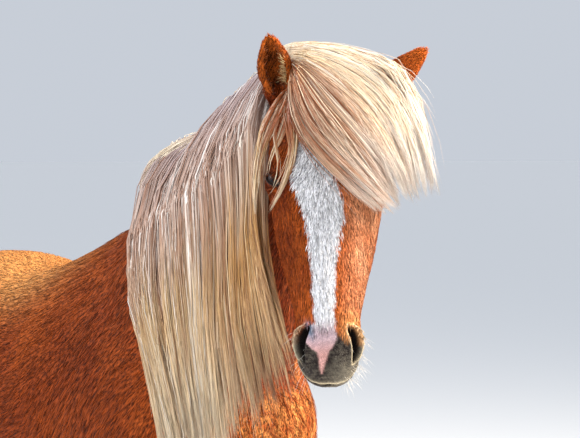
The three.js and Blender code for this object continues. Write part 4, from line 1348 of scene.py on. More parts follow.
tailSizes = {
    "middle": -1152,
    "tip": [190, 400],
    "locks": 70,
    "strands": 2100,
    "rings": 10,
    "width": 4.2,
    "depthPower": 0.6,
    "reachScale": [0, 1],
    "shift": 6,
    "shuffled": True,
    "spread": [0.02, 0.08, 0.16, 0.2, 3],
    "clump": 0.6,
    "stray": [0, 1, 0],
    "straying": 0,
    "palette": ["rust", "beige", "straw", "cream", "tan", "white"],
    "gapShade": 0.35,
}


def tailPaths(share, depth, reachScale, phase, shift):
    angle = np.pi + np.radians((share - 0.5) * mix(360, 270, depth))
    radial = np.stack([np.cos(angle), np.sin(angle)], 1)
    row = mix(3.3, 1.35, depth) + mix(0.6, 1.0, depth) * np.abs(share - 0.5)
    rootX, rootZ, radius = rowsAt(dockTable, row).T
    spread, out = mix(24, 88, depth), mix(18, 62, depth)
    tip = mix(*tailSizes["tip"], reachScale)
    nodes = [np.stack([rootX + radial[:, 0] * radius * 0.6, radial[:, 1] * radius * 0.6, rootZ], 1)]
    steps = 7
    for k in range(1, steps + 1):
        t = k / steps
        z = mix(rootZ - 6, tip, t**1.05)
        swell = np.sin(np.pi * mix(0.3, 0.86, t))
        reach = max(swell, (1 - t) * 0.6)
        middle = mix(rootX, tailSizes["middle"], min(1, t * 1.8))
        wave = np.sin(phase + t * 6) * 7 * t
        x = middle + radial[:, 0] * out * reach + wave * 0.5
        nodes.append(np.stack([x, radial[:, 1] * spread * reach + wave + shift * t, z], 1))
    return np.stack(nodes, 1)


def makeTail():
    paths, own = growLocks(tailPaths, tailSizes)
    angle = np.pi + np.radians((own["share"] - 0.5) * 300)
    across = unit(np.stack([-np.sin(angle), np.cos(angle), rng.normal(0, 0.15, len(paths))], 1))
    tail = strandPiece("tail_hair", paths, own["width"], 0.8, across, hairTint(own, tailSizes))
    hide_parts("tail")


featherSizes = {
    "strands": 70,
    "length": 87,
    "top": 182,
    "arc": 2.3,
    "rings": 6,
    "width": 3.4,
    "palette": ["rust", "gold", "straw", "cream", "tan", "cream"],
    "gapShade": 0.2,
}


def makeFeather():  # longer hair behind each fetlock
    count, rings = featherSizes["strands"], featherSizes["rings"]
    allPaths = []
    for kind, side in legKeys:
        angle = np.pi + (rng.random(count) - 0.5) * featherSizes["arc"]
        start = featherSizes["top"] - 26 * rng.random(count)
        length = featherSizes["length"] * rng.uniform(0.75, 1.15, count)
        x, y, halfLength, halfWidth = legAt(kind, side, start)
        nodes = []
        for t in np.linspace(0, 1, 5):
            grow = -9 + 13 * min(1, t * 4) + 17 * t
            aside = np.sin(angle) * (halfWidth + grow)
            height = np.maximum(start - length * t, 66)
            nodes.append(np.stack([x + np.cos(angle) * (halfLength + grow), y + aside, height], 1))
        allPaths.append(throughNodes(np.stack(nodes, 1), rings))
    paths = np.concatenate(allPaths)
    total = len(paths)
    lockTone, strandTone = rng.normal(0, 1, (2, total))
    own = {"lockTone": lockTone, "strandTone": strandTone, "depth": rng.random(total)}
    widths = taperedWidths(rng.uniform(0.8, 1.2, total) * featherSizes["width"], rings)
    across = unit(np.stack([lockTone, 1 + 0 * lockTone, 0 * lockTone], 1))
    strandPiece("feather", paths, widths, 0.8, across, hairTint(own, featherSizes))


hoofSizes = {
    "length": 62,
    "width": 58,
    "topLength": 43,
    "topWidth": 42,
    "toe": 22,
    "tilt": 0.42,
    "coronet": 64,
    "heel": 0.14,
    "slopeHeight": 75,
    "rings": 40,
    "sides": 64,
}
fringeSizes = {"strands": 260, "root": 92, "rings": 5, "width": 2.6, "over": 2.5, "length": [20, 30]}


def hoofMiddle(kind, side):
    row = legTables[kind][-2]
    return row[1] + strideAt(kind, side, row[0]), row[3] * side


def heelShape(angle):  # the back of the hoof is drawn in a little
    return np.where(np.cos(angle) < 0, 1 + hoofSizes["heel"] * np.cos(angle), 1)


def makeFringe():  # hair that hangs from the pastern over the top edge of the hoof
    count, rings, root = [fringeSizes[key] for key in ("strands", "rings", "root")]
    allPaths, allAcross = [], []
    for kind, side in legKeys:
        angle = (np.arange(count) + rng.random(count)) / count * 2 * np.pi
        x, y, halfLength, halfWidth = legAt(kind, side, root)
        hoofX, _ = hoofMiddle(kind, side)
        rimX = hoofX + 3 + np.cos(angle) * (hoofSizes["topLength"] + fringeSizes["over"]) * heelShape(angle)
        rimY = y + np.sin(angle) * (hoofSizes["topWidth"] + fringeSizes["over"])
        rimZ = hoofSizes["coronet"] + hoofSizes["tilt"] * (rimX - hoofX) + 3
        startX, startY = x + np.cos(angle) * (halfLength - 3), y + np.sin(angle) * (halfWidth - 3)
        startZ = rimZ + root - hoofSizes["coronet"] - 6 * rng.random(count)
        drop = rng.uniform(*fringeSizes["length"], count) * 0.5
        start, rim = np.stack([startX, startY, startZ], 1), np.stack([rimX, rimY, rimZ], 1)
        out = np.stack([np.cos(angle), np.sin(angle), 0 * angle], 1)
        tip = rim + out * 1.5 - np.outer(drop, [0, 0, 1])
        nodes = [start, mix(start, rim, 0.5) + out * 3, rim + [0, 0, 3]]
        nodes += [mix(rim, tip, 0.5) + out * 0.5, tip]
        allPaths.append(throughNodes(np.stack(nodes, 1), rings))
        allAcross.append(np.stack([-np.sin(angle), np.cos(angle), rng.normal(0, 0.1, count)], 1))
    paths, across = np.concatenate(allPaths), unit(np.concatenate(allAcross))
    total = len(paths)
    colours, _ = markings(paths[:, 0], across)
    colours = colours * np.clip(1.25 + rng.normal(0, 0.25, (total, 1)), 0.6, 1.8)
    widths = taperedWidths(rng.uniform(0.8, 1.2, total) * fringeSizes["width"], rings)
    strandPiece("fringe", paths, widths, 0.5, across, colours)


# Colours of the coat, painted sunlight and shade included: the skin and the fur on it take theirs from the
# same places

coatColours = linearColours(
    bright="#B0541C",
    deep="#6A260C",
    dark="#43190B",
    pale="#DFA25C",
    # the pale of painted sunlight on the face
    facePale="#E2AF88",
    white="#DCDADB",
    muzzle="#221A18",
    muzzlePale="#9A907C",
    pink="#B89EA3",
    salmon="#C8958C",
    blue="#6C7484",
    # near black: painted shade in the nostrils and along the crease of the mouth
    inside="#120C0A",
    rim="#D8C6A4",
    lid="#241A16",
    earEdge="#B2561A",
)

# distance down the face, left and right edge of the blaze
blazeEdges = np.array([
    [60, -36, -34], [110, -40, -28], [168, -47, -24], [195, -52, -7], [221, -58, 9], [247, -54, 16],
    [272, -44, 25], [297, -35, 26], [320, -32, 22], [345, -31, 17], [377, -27, 11.5], [404, -26, 11],
    [430, -26, 11], [455, -23, 8], [480, -22, 9], [491, -33, 12], [504, -37, 12], [513, -34, 10],
    [521, -26, 4], [527, -18, -1], [537, -15, -4], [548, -14, -8], [556, -11, -11],
], float)


def mottle(points, size, seed):  # smooth patches of about the given size, from -1 to 1
    source = np.random.default_rng(seed)
    total = np.zeros(len(points))
    for _ in range(6):
        a, b = unit(source.normal(size=(2, 3)))
        pace = 2 * np.pi / size * source.uniform(0.6, 1.5)
        bend = 1.4 * np.sin(points @ b * pace * 0.7 + source.uniform(0, 6))
        total += np.sin(points @ a * pace + bend + source.uniform(0, 6))
    return total / 6 * 1.6


def earPlaces(points):
    # for each ear: what is on it, share of its length, distance from its axis, way to its opening, its axis
    found = []
    for ear in earShapes.values():
        base, length, up, opens, _ = earFrame(ear)
        away = points - base
        height = away @ up / length
        beside = away - (away @ up)[:, None] * up
        distance = np.linalg.norm(beside, axis=1)
        near = (height > 0.16) & (height < 1.1) & (distance < 36)
        found.append((near, height, distance, beside @ opens, up))
    return found


def onEar(points):
    return np.any([near for near, *_ in earPlaces(points)], axis=0)


def onHead(points):
    places = faceCoordinates(points)
    return (places[:, 0] > 12) & (places[:, 2] > -245) & (points[:, 0] > 560) & ~onEar(points)


def earOpens(points):  # the direction in which the nearer ear opens
    right, left = [unit(np.array(earFrame(ear)[3])) for ear in earShapes.values()]
    return np.where(faceCoordinates(points)[:, 1:2] < 0, right, left)


def paint(base, name, share, strength=1.0):  # lays a coat colour over the base by its share
    return mix(base, coatColours[name] * strength, share[:, None])


def bodyColour(points, normals, fine):
    x, y, z = points.T
    patches = 0.5 + 0.5 * mottle(points, 330, 3)
    colour = paint(coatColours["deep"], "bright", np.clip(0.28 + 0.55 * patches + 0.16 * fine, 0, 1))
    # painted sunlight on the upward-facing back behind the withers, paler down the legs, and painted shade
    # on the horse's right side from the shoulder back, where it faces away from the light
    colour = paint(colour, "pale", 0.6 * smoothStep(0.35, 0.95, normals[:, 2]) * smoothStep(60, -300, x))
    colour = paint(colour, "pale", 0.25 * smoothStep(620, 300, z))
    # painted shade on the right side, where it does not face up
    shaded = smoothStep(60, -140, y) * smoothStep(0.75, 0.2, normals[:, 2]) * smoothStep(420, 250, x)
    colour = paint(colour, "deep", 0.6 * shaded, 0.82)
    # curls of the chest, and painted shadow of the head on the throat
    chest = smoothStep(330, 470, x) * smoothStep(-190, -60, y)
    curls = np.clip(0.5 + 0.9 * mottle(points, 22, 24), 0, 1)
    colour = paint(colour, "pale", 0.5 * chest * curls)
    colour = paint(colour, "deep", 0.5 * chest * (1 - curls))
    # painted shadow: the throat under the head is darker
    throatShadow = smoothStep(400, 450, x) * smoothStep(1080, 1140, z) * smoothStep(120, 70, y)
    return paint(colour, "deep", 0.92 * throatShadow, 0.85)


def muzzleColour(points, down, left, out):
    rimSide = smoothStep(44, 60, np.abs(left)) * smoothStep(560, 500, down)
    speckle = 0.16 * mottle(points, 4.5, 12) + 0.12 * mottle(points, 12, 14)
    lit = 0.45 * smoothStep(-5, 40, left + 0.5 * (down - 540)) * smoothStep(520, 556, down)
    pale = np.clip(0.6 * rimSide + 0.08 + speckle + lit, 0, 1)
    colour = paint(coatColours["muzzle"], "muzzlePale", 0.8 * pale)
    # painted shade: darker under the chin
    return paint(colour, "muzzle", smoothStep(-58, -64, out) * smoothStep(480, 540, down), 0.7)


def faceColour(points, fine):  # also how bare the skin is: 1 on the muzzle, the lids and in the nostrils
    places = faceCoordinates(points)
    down, left, out = places.T
    near = smoothStep(-70, -45, out)
    frontal = smoothStep(-120, -50, out)
    # painted light and shade: the front of the face gets lighter towards the horse's left, the side the
    # light falls on, and darker towards its right; the side of its left cheek is darker, and a pale tint of
    # painted sunlight lies on the left half of the front
    bright = 0.85 + 0.3 * fine + left / 150 * frontal - 0.25 * (left > 0) * (1 - frontal)
    face = paint(coatColours["deep"], "bright", np.clip(bright, 0, 1))
    face = paint(face, "facePale", 0.62 * smoothStep(5, 60, left) * frontal * (0.7 + 0.3 * fine))
    face = paint(face, "pale", 0.6 * smoothStep(440, 490, down) * smoothStep(5, 40, left))
    # dark skin of the muzzle, paler towards the outer rims of the nostrils
    edge = down + 7 * mottle(points, 22, 10) - 10 * smoothStep(10, 40, left)
    dark = smoothStep(486, 508, edge + 14 * smoothStep(-45, -75, out))
    face = mix(face, muzzleColour(points, down, left, out), dark[:, None])
    # blaze with uneven edges, white down to the pink snip
    ragged = 2.6 * mottle(points, 13, 8) + 1.8 * mottle(points, 5, 9)
    low, high = [np.interp(down, blazeEdges[:, 0], blazeEdges[:, k]) for k in (1, 2)]
    inside = np.minimum(left - low, high - left) + ragged * smoothStep(560, 470, down) + 0.6
    blaze = smoothStep(-2.2, 2.2, inside) * near * (down > 60) * (down < 558)
    pink = paint(coatColours["pink"], "salmon", smoothStep(500, 535, down))
    pink = pink * (1 + 0.1 * fine[:, None] + 0.14 * mottle(points, 9, 15)[:, None])
    white = mix(coatColours["white"], pink, smoothStep(470, 500, down)[:, None])
    face = mix(face, white, blaze[:, None])
    spot = np.exp(-(((down - 492) / 13) ** 2 + ((left + 30 - (down - 492) * 0.25) / 6) ** 2)) * near
    face = paint(face, "blue", np.clip(1.3 * spot, 0, 1))
    mouth, above = mouthDistance(places)
    face = paint(face, "rim", 0.75 * hump(mouth, 7.0, 2.4) * (above > 0) * (down > 470))
    # painted shade: near black along the crease of the mouth
    face = paint(face, "inside", np.clip(1.2 * (hump(mouth, 0, 3.4) * (down > 430)), 0, 1))
    bare = np.maximum(dark, 0.45 * blaze)
    for side in (1, -1):
        nostril = nostrilLocal(points, side)
        close = np.linalg.norm(nostril, axis=1) < 48
        distance = nostrilDistance(nostril)
        pit = smoothStep(0.6, -2.2, distance) * close
        outer = hump(distance, 5.5, 4.5) * smoothStep(-2, 6, nostril[:, 1]) * close
        inner = hump(distance, 2.2, 1.3) * smoothStep(4, -2, nostril[:, 1]) * close
        face = paint(face, "rim", 0.8 * outer)
        # painted highlight along the inner rim of the left nostril, the side the light falls on
        face = paint(face, "rim", 0.55 * inner * (side > 0))
        # painted shade: near black in the nostril's pit
        face = paint(face, "inside", pit)
        eye = eyeLocal(points, side)
        nearEye = np.linalg.norm(eye, axis=1) < 48
        gap = lidDistance(eye)
        lid = smoothStep(5.5, 2.0, gap) * nearEye
        face = paint(face, "dark", 0.5 * smoothStep(14, 5, gap) * nearEye)
        face = paint(face, "lid", lid)
        bare = np.maximum(bare, np.maximum(pit, lid))
    return face, bare


def markings(points, normals):  # colour of the coat or the bare skin, and how bare it is
    fine = mottle(points, 60, 5)
    head = onHead(points)
    face, bare = faceColour(points, fine)
    colour = np.where(head[:, None], face, bodyColour(points, normals, fine))
    facing = np.sum(normals * earOpens(points), axis=1) > 0.15
    for near, height, distance, towards, _ in earPlaces(points):
        wall = paint(coatColours["deep"], "earEdge", smoothStep(0.2, 1.0, height))
        colour = np.where(near[:, None], wall, colour)
        # painted shade in the hollow of the ear: darkest deep in the cup, lighter towards its opening, its
        # rim and its tip
        shallow = np.maximum(smoothStep(-2, 13, towards), smoothStep(0.5, 0.85, height))
        shallow = np.maximum(shallow, 0.8 * smoothStep(8, 15, distance))
        pit = paint(coatColours["dark"] * 0.5, "earEdge", shallow, 0.8)
        colour = np.where((near & facing & (distance < 30))[:, None], pit, colour)
        colour = np.where((near & (height > 0.86))[:, None], coatColours["earEdge"], colour)
    return np.clip(colour, 0, 1), np.where(head, bare, 0)


skinColour, skinBare = markings(skinPoints, skinNormals)
# painted shade under the fur: the furred skin is darker than its coat's colour, bare skin only a little
addTint(skin.data, skinColour * mix(0.84, 0.95, skinBare[:, None]), skinBare)
# what the skin's material needs to know of a place: shares of leg, head and shoulder
zone = skin.data.attributes.new(name="zone", type="FLOAT_VECTOR", domain="POINT")
skinOnHead = onHead(skinPoints)
legShare = smoothStep(960, 800, skinPoints[:, 2]) * ~skinOnHead
zones = np.column_stack([legShare, skinOnHead, smoothStep(-260, 60, skinPoints[:, 0])])
zone.data.foreach_set("vector", zones.astype(np.float32).ravel())


# Fur: short tapered tufts that lie along the body

furSizes = {  # tone: how far a tuft is lighter or darker than its place
    "trunk": {"count": 26000, "length": 34, "width": 1.6, "lift": 1.3, "tone": 0.36},
    "neck": {"count": 6000, "length": 28, "width": 1.6, "lift": 1.3, "tone": 0.34},
    "legs": {"count": 8000, "length": 19, "width": 1.8, "lift": 1.2, "tone": 0.22},
    "face": {"count": 17000, "length": 13, "width": 1.4, "lift": 1.2, "tone": 0.28},
    "ears": {"count": 3600, "length": 8, "width": 1.2, "lift": 1.1, "tone": 0.2},
}


def coatFlow(points, normals):
    # the way the coat lies: back and down the body, and away from the whorl of the forehead
    x, _, z = points.T
    down, left, out = faceCoordinates(points).T
    flow = np.array([-1, 0, -0.42])
    for direction, share in (
        ([-0.62, 0, -0.8], smoothStep(-260, 60, x)),  # shoulder
        ([-0.1, 0, -1.0], smoothStep(330, 450, x) * smoothStep(1300, 1150, z)),  # chest
        ([-0.35, 0, -1.0], smoothStep(-680, -900, x)),  # quarters
        ([-0.75, 0, -0.85], smoothStep(150, 420, x) * smoothStep(1150, 1330, z)),  # neck
        ([-0.12, 0, -1.0], smoothStep(980, 760, z)),  # legs
    ):
        flow = mix(flow, np.array(direction), share[:, None])
    upDown = smoothStep(118, 165, down) * 2 - 1
    sideways = np.clip(left / 70, -1.2, 1.2) * smoothStep(470, 300, down) * 0.75
    backward = -0.7 * smoothStep(-50, -120, out) * smoothStep(520, 430, down)
    facing = upDown[:, None] * faceDown + sideways[:, None] * faceLeft + backward[:, None] * faceOut
    flow = np.where(onHead(points)[:, None], facing, flow)
    for near, *_, up in earPlaces(points):
        flow = np.where(near[:, None], up, flow)
    curls = smoothStep(380, 430, x) * smoothStep(1240, 1160, z) * smoothStep(940, 1000, z)
    turn = 0.18 * mottle(points, 170, 21) + 0.12 * mottle(points, 45, 22)
    turn += 1.1 * curls * mottle(points, 46, 23)
    flow = unit(flow - normals * np.sum(flow * normals, 1, keepdims=True))
    aside = np.cross(normals, flow)
    return unit(flow * np.cos(turn)[:, None] + aside * np.sin(turn)[:, None])


def spreadOver(weights, count):  # evenly spread places on the skin, more where the weight is higher
    a, b, c = [skinPoints[skinTriangles[:, k]] for k in range(3)]
    area = np.linalg.norm(np.cross(b - a, c - a), axis=1) * weights
    steps = np.cumsum(area)
    chosen = np.searchsorted(steps, (np.arange(count) + rng.random(count)) / count * steps[-1])
    chosen = np.clip(chosen, 0, len(area) - 1)
    r, s = np.sqrt(rng.random(count)), rng.random(count)
    shares = np.stack([1 - r, r * (1 - s), r * s], 1)[..., None]
    corners = skinTriangles[chosen]
    return (skinPoints[corners] * shares).sum(1), unit((skinNormals[corners] * shares).sum(1))


def furPiece(name, points, normals, sizes, scale):
    count = len(points)
    flow = coatFlow(points, normals)
    flow = unit(flow + np.cross(normals, flow) * rng.normal(0, 0.11, (count, 1)))
    vary = rng.uniform(0.7, 1.3, count) * scale
    length, width, lift = [(sizes[key] * vary)[:, None] for key in ("length", "width", "lift")]
    root = points - normals * 0.8
    middle = points + flow * length * 0.5 + normals * lift * rng.uniform(0.55, 1.0, (count, 1))
    tip = points + flow * length + normals * lift * rng.uniform(0.5, 1.15, (count, 1))
    half = width * [0.3, 0.5, 0]
    across = unit(np.cross(normals, flow) + normals * rng.normal(0, 0.2, (count, 1)))
    colour, _ = markings(points, normals)
    stretched = points - flow * np.sum(points * flow, 1, keepdims=True) * 0.8
    streak = mottle(stretched, 5, 33) * 0.34 + mottle(stretched, 16, 31) * 0.16
    streak += mottle(stretched, 42, 32) * 0.1
    tone = (rng.normal(0, 1, (count, 1)) + 2.8 * streak[:, None]) * sizes["tone"]
    colour = colour * np.clip(1 + tone, 0.35, 1.9)
    lighter = np.array([0.94, 1.0, 1.07])[None, :, None]  # from root to tip
    colours = np.clip(colour[:, None] * lighter, 0, 1)
    strandPiece(name, np.stack([root, middle, tip], 1), half, 0.5, across, colours)


def makeFur():
    middle = skinPoints[skinTriangles].mean(1)
    normals = unit(skinNormals[skinTriangles].sum(1))
    _, bare = markings(middle, normals)
    out = faceCoordinates(middle)[:, 2]
    x, y, z = middle.T
    hidden = (x < -1000) & (np.abs(y) < 60) & (z < 1120)  # under the tail
    inPit = np.zeros(len(middle), bool)
    for side in (1, -1):
        nostril, eye = nostrilLocal(middle, side), eyeLocal(middle, side)
        inPit |= (np.linalg.norm(nostril, axis=1) < 45) & (nostrilDistance(nostril) < 1.5)
        inPit |= (np.linalg.norm(eye, axis=1) < 40) & (lidDistance(eye) < 2.5)
    masks = {"ears": onEar(middle), "face": onHead(middle)}
    masks["legs"] = (z < 800) & ~masks["face"]
    masks["neck"] = (x > 120) & (z > 1180) & ~masks["face"] & ~masks["ears"]
    masks["trunk"] = ~np.any(list(masks.values()), axis=0)
    for name, sizes in furSizes.items():
        weights = masks[name].astype(float) * ~hidden
        if name == "face":
            weights = weights * np.where(bare > 0.5, 0.35, 1) * ~inPit
            weights = weights * (1 - 0.75 * smoothStep(-60, -140, out))
        points, pointNormals = spreadOver(weights, sizes["count"])
        scale = np.ones(len(points))
        if name == "face":
            down = faceCoordinates(points)[:, 0]
            _, pointBare = markings(points, pointNormals)
            scale = np.where(pointBare > 0.5, 0.42, 1) * mix(1.15, 0.8, smoothStep(200, 500, down))
        if name == "legs":
            scale = mix(0.75, 1.35, smoothStep(150, 780, points[:, 2]))
        pieces = ["fur_trunk_back", "fur_trunk_front"] if name == "trunk" else [f"fur_{name}"]
        for piece, part in zip(pieces, np.array_split(np.arange(len(points)), len(pieces))):
            furPiece(piece, points[part], pointNormals[part], sizes, scale[part])


print("stage: fur")
makeFur()
print("stage: mane, forelock, tail and feather")
makeMane()
makeCrestHair()
makeRoll()
makeForelock()
makeTail()
makeFeather()
strandMeshes = [piece.data for piece in strandPieces.values()]
print("strand triangles", sum(len(mesh.loops) - 2 * len(mesh.polygons) for mesh in strandMeshes))

# Eyes: dark brown irises with a wide pupil under a clear cornea

eyeSizes = {"radius": 21.6, "iris": 15.5, "pupil": [9.5, 4.6], "bulge": 1.3}
eyeColours = linearColours(iris="#3A2113", irisEdge="#1A0F0A", pupil="#050406", white="#6E5A50")


def makeEye(side):
    bpy.ops.mesh.primitive_uv_sphere_add(segments=48, ring_count=32, radius=1)
    eye = bpy.context.active_object
    eye.name = f"eyeball_{sideName(side)}"
    shaped = meshPoints(eye.data)
    front = shaped[:, 2] > 0
    wide = np.hypot(shaped[:, 0], shaped[:, 1]) * eyeSizes["radius"]
    shaped = shaped * eyeSizes["radius"]
    shaped[:, 2] += eyeSizes["bulge"] * np.where(front, smoothStep(eyeSizes["iris"], 4, wide), 0)
    along, up, _ = shaped.T
    pupil = np.hypot(along / eyeSizes["pupil"][0], up / eyeSizes["pupil"][1])
    iris = smoothStep(eyeSizes["iris"] + 1, eyeSizes["iris"] - 1, wide) * front
    turn = np.arctan2(up, along)
    spokes = 0.5 + 0.5 * np.sin(turn * 37 + 2 * np.sin(turn * 5))
    lit = (0.4 + 0.6 * spokes * smoothStep(15, 8, wide))[:, None]
    colour = mix(eyeColours["white"], mix(eyeColours["irisEdge"], eyeColours["iris"], lit), iris[:, None])
    colour = mix(colour, eyeColours["pupil"], (smoothStep(1.15, 0.85, pupil) * front)[:, None])
    setPoints(eye.data, placed(eyeWorld(shaped, side)))
    turnOutwards(eye)
    addTint(eye.data, colour)
    shadeSmooth(eye.data)
    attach(eye, "root")
    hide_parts(f"eye_{sideName(side)}")
    return eye


# half widths are at the root, the middle and the tip
lashSizes = {"count": 26, "length": [6, 11], "half": [0.45, 0.36, 0], "colour": linearColour("#5A4A40")}
whiskerSizes = {"tries": 120, "length": [12, 38], "half": [0.3, 0.22, 0], "colour": linearColour("#E4DDD2")}
earHairSizes = {"count": 800, "length": [9, 20], "half": [0.8, 0.6, 0]}


def makeLashes():
    rows, count = [], lashSizes["count"]
    for side in (1, -1):
        t = np.linspace(-0.82, 0.9, count) + rng.normal(0, 0.02, count)
        along = lidShape["centre"] + t * lidShape["length"]
        high = lidShape["upper"] * np.sqrt(1 - t**2) ** 1.2 + 0.8
        out = np.sqrt(np.maximum(lidShape["ball"] ** 2 - along**2 - high**2, 4))
        base = np.stack([along, high, out], 1)
        length = rng.uniform(*lashSizes["length"], count)[:, None]
        lean = np.stack([0.12 * t, -0.25 + 0 * t, 1 + 0 * t], 1)
        middle = base + unit(lean) * length * 0.55
        tip = middle + unit(lean + [0, -0.55, -0.1]) * length * 0.5
        rows.append(np.stack([eyeWorld(p, side) for p in (base - [0, 0, 1], middle, tip)], 1))
    paths = np.concatenate(rows)
    across = unit(np.tile(faceDown, (len(paths), 1)))
    strandPiece("lashes", paths, lashSizes["half"], 1, across, lashSizes["colour"])


def makeWhiskers():  # on the lips and chin, more on the side away from the mane
    tries = []
    for _ in range(whiskerSizes["tries"]):
        side = rng.choice([-1, 1], p=(0.2, 0.8))
        tries.append((side, rng.uniform(478, 562), rng.uniform(1.0, 2.5)))
    starts, looks = [], []
    for side, down, turn in tries:
        look = faceLeft * side * math.sin(turn) + faceOut * math.cos(turn)
        point, normal, _, _ = tree.ray_cast(Vector(facePoint([down, 0, -55]) + look * 150), Vector(-look))
        if point is None:
            continue
        point = np.array(point)
        if min(np.linalg.norm(point - facePoint([500, s * 45, -21])) for s in (1, -1)) < 22:
            continue  # in a nostril
        starts.append(point)
        looks.append(unit(np.array(normal) + faceDown * 0.55 + rng.normal(0, 0.18, 3)))
    starts, looks = np.array(starts), np.array(looks)
    length = rng.uniform(*whiskerSizes["length"], len(starts))[:, None]
    drop = np.array([0, 0, -1.0])
    middle = starts + looks * length * 0.5
    tip = starts + looks * length + drop * length * 0.16
    paths = np.stack([starts - looks * 1.5, middle, tip], 1)
    across = unit(np.cross(looks, drop))
    strandPiece("whiskers", paths, whiskerSizes["half"], 1, across, whiskerSizes["colour"])


def makeEarHair():
    rows, tones, count = [], [], earHairSizes["count"]
    for key, ear in earShapes.items():
        base, length, up, opens, across = earFrame(ear)
        towardsMiddle = 1 if np.dot(across, faceLeft) * (1 if key == "right" else -1) > 0 else -1
        height = rng.uniform(0.12, 0.84, count)
        width, depth = [np.interp(height, earTable[:, 0], earTable[:, k]) - 3 for k in (1, 2)]
        medial = rng.random(count) < 0.5
        edge = np.where(medial, 1, -1) * towardsMiddle
        angle = edge * rng.uniform(0.9, 2.25, count)
        start = base + up * (height * length)[:, None] + across * (np.sin(angle) * width)[:, None]
        start = start + opens * (-np.cos(angle) * depth)[:, None]
        tuft = medial & (height > 0.22) & (height < 0.64)
        size = rng.uniform(*earHairSizes["length"], count) * (1.1 - 0.5 * height) * np.where(tuft, 1.4, 1)
        look = -across * (edge * rng.uniform(0.3, 0.9, count))[:, None]
        look = look + opens * rng.uniform(-0.2, 0.5, (count, 1)) + up * rng.uniform(-0.1, 0.9, (count, 1))
        look = unit(look)
        middle = start + look * size[:, None] * 0.55
        tip = middle + unit(look + up * 0.5 + rng.normal(0, 0.3, (count, 3))) * size[:, None] * 0.5
        rows.append(np.stack([start, middle, tip], 1))
        cream = np.where(tuft, 1, 0.04) * rng.uniform(0.1, 1, count) ** 0.8
        edgeShare = np.clip(height + rng.normal(0, 0.2, count), 0, 1)
        warm = paint(coatColours["deep"] * 0.6, "earEdge", edgeShare)
        tones.append(mix(warm, hairColours["straw"], cream[:, None]))
    paths = np.concatenate(rows)
    across = unit(rng.normal(0, 1, (len(paths), 3)))
    strandPiece("ear_hair", paths, earHairSizes["half"], 1, across, np.concatenate(tones))


# Hooves: striped horn with growth rings, wider at the floor than at the coronet


def makeHoof(kind, side):
    name = f"{kind}_{sideName(side)}"
    x, y = hoofMiddle(kind, side)
    angle = roundAngles(hoofSizes["sides"])
    rings = []
    for level in np.linspace(0, 1, hoofSizes["rings"]):
        z = np.full(len(angle), level * hoofSizes["coronet"])
        for _ in range(3):  # height and size depend on each other under the tilted top
            share = z / hoofSizes["slopeHeight"]
            length = mix(hoofSizes["length"], hoofSizes["topLength"], share) - 1
            width = mix(hoofSizes["width"], hoofSizes["topWidth"], share) - 1
            px = mix(hoofSizes["toe"], 0, share) + np.cos(angle) * length * heelShape(angle)
            z = level * (hoofSizes["coronet"] + hoofSizes["tilt"] * px)
        swell = 0.5 * np.sin(level * 46 + 1.2 * np.sin(angle * 2)) * (0.05 < level < 0.9)
        swell += 1.4 * math.exp(-(((level - 0.95) / 0.05) ** 2))
        px = px + np.cos(angle) * swell
        py = np.sin(angle) * (width + swell)
        if level == 0:
            px, py = px * 0.985 + 0.3, py * 0.985
        rings.append(np.stack([x + px, y + py, z], 1))
    rings = np.array(rings)
    mesh = meshFromArrays(f"hoof_horn_{name}", placed(loftPoints(rings)), loftFaces(*rings.shape[:2]))
    hoof = newObject(mesh.name, mesh)
    turnOutwards(hoof)
    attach(hoof, "root")
    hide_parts(f"hoof_{name}")
    return hoof


print("stage: eyes, lashes, whiskers and hooves")
eyeBalls = [makeEye(side) for side in (1, -1)]
makeLashes()
makeWhiskers()
makeEarHair()
hooves = [makeHoof(kind, side) for kind, side in legKeys]
makeFringe()

print("stage: camera, floor and light")
cameraSizes = {
    "place": [2710, -1574, 1555.7],
    "looks": [-0.811, 0.585],
    "dip": 2.404,  # degrees below level
    "focalPixels": 1475.7,
    "framePixels": 580,
    "sensor": 36,
}
studio = {
    "sky": "#E7EEF9",
    "skyStrength": 0.72,
    "floor": "#F6F6F5",
    "floorSize": 900,  # metres, so that its edge is a far, low horizon
    "floorGlow": 0.053,
}
lights = {  # place and aim in metres, size, power in watts, colour
    "key": [(2.2, 2.7, 3.5), (0.5, 0, 1.4), 1.3, 520, (1, 0.9, 0.76)],
    "fill": [(3.2, -3.4, 2.6), (0.4, 0, 1.3), 3.0, 120, (0.9, 0.94, 1)],
    "rim": [(-2.0, -2.4, 3.6), (0.3, 0, 1.4), 1.5, 130, (0.93, 0.95, 1)],
}


def shaderColour(hexValue):
    return (*linearColour(hexValue), 1)


def makeCamera():
    data = bpy.data.cameras.new("camera")
    camera = newObject("camera", data)
    camera.location = placed(cameraSizes["place"])
    data.sensor_width = cameraSizes["sensor"]
    data.lens = cameraSizes["focalPixels"] / cameraSizes["framePixels"] * cameraSizes["sensor"]
    dip = math.radians(cameraSizes["dip"])
    look = Vector((*cameraSizes["looks"], 0)).normalized() * math.cos(dip) - Vector((0, 0, math.sin(dip)))
    camera.rotation_euler = look.to_track_quat("-Z", "Y").to_euler()
    bpy.context.scene.camera = camera


def makeStudio():
    bpy.ops.mesh.primitive_plane_add(size=studio["floorSize"])
    floor = bpy.context.active_object
    floor.name = "floor"
    world = bpy.data.worlds.new("studio")
    bpy.context.scene.world = world
    world.use_nodes = True
    sky = world.node_tree.nodes["Background"].inputs
    sky["Color"].default_value = shaderColour(studio["sky"])
    sky["Strength"].default_value = studio["skyStrength"]
    for name, (place, aim, size, power, colour) in lights.items():
        data = bpy.data.lights.new(name, "AREA")
        data.size, data.energy, data.color = size, power, colour
        lamp = newObject(name, data)
        lamp.location = place
        lamp.rotation_euler = (Vector(aim) - lamp.location).to_track_quat("-Z", "Y").to_euler()
    return floor


makeCamera()
floor = makeStudio()


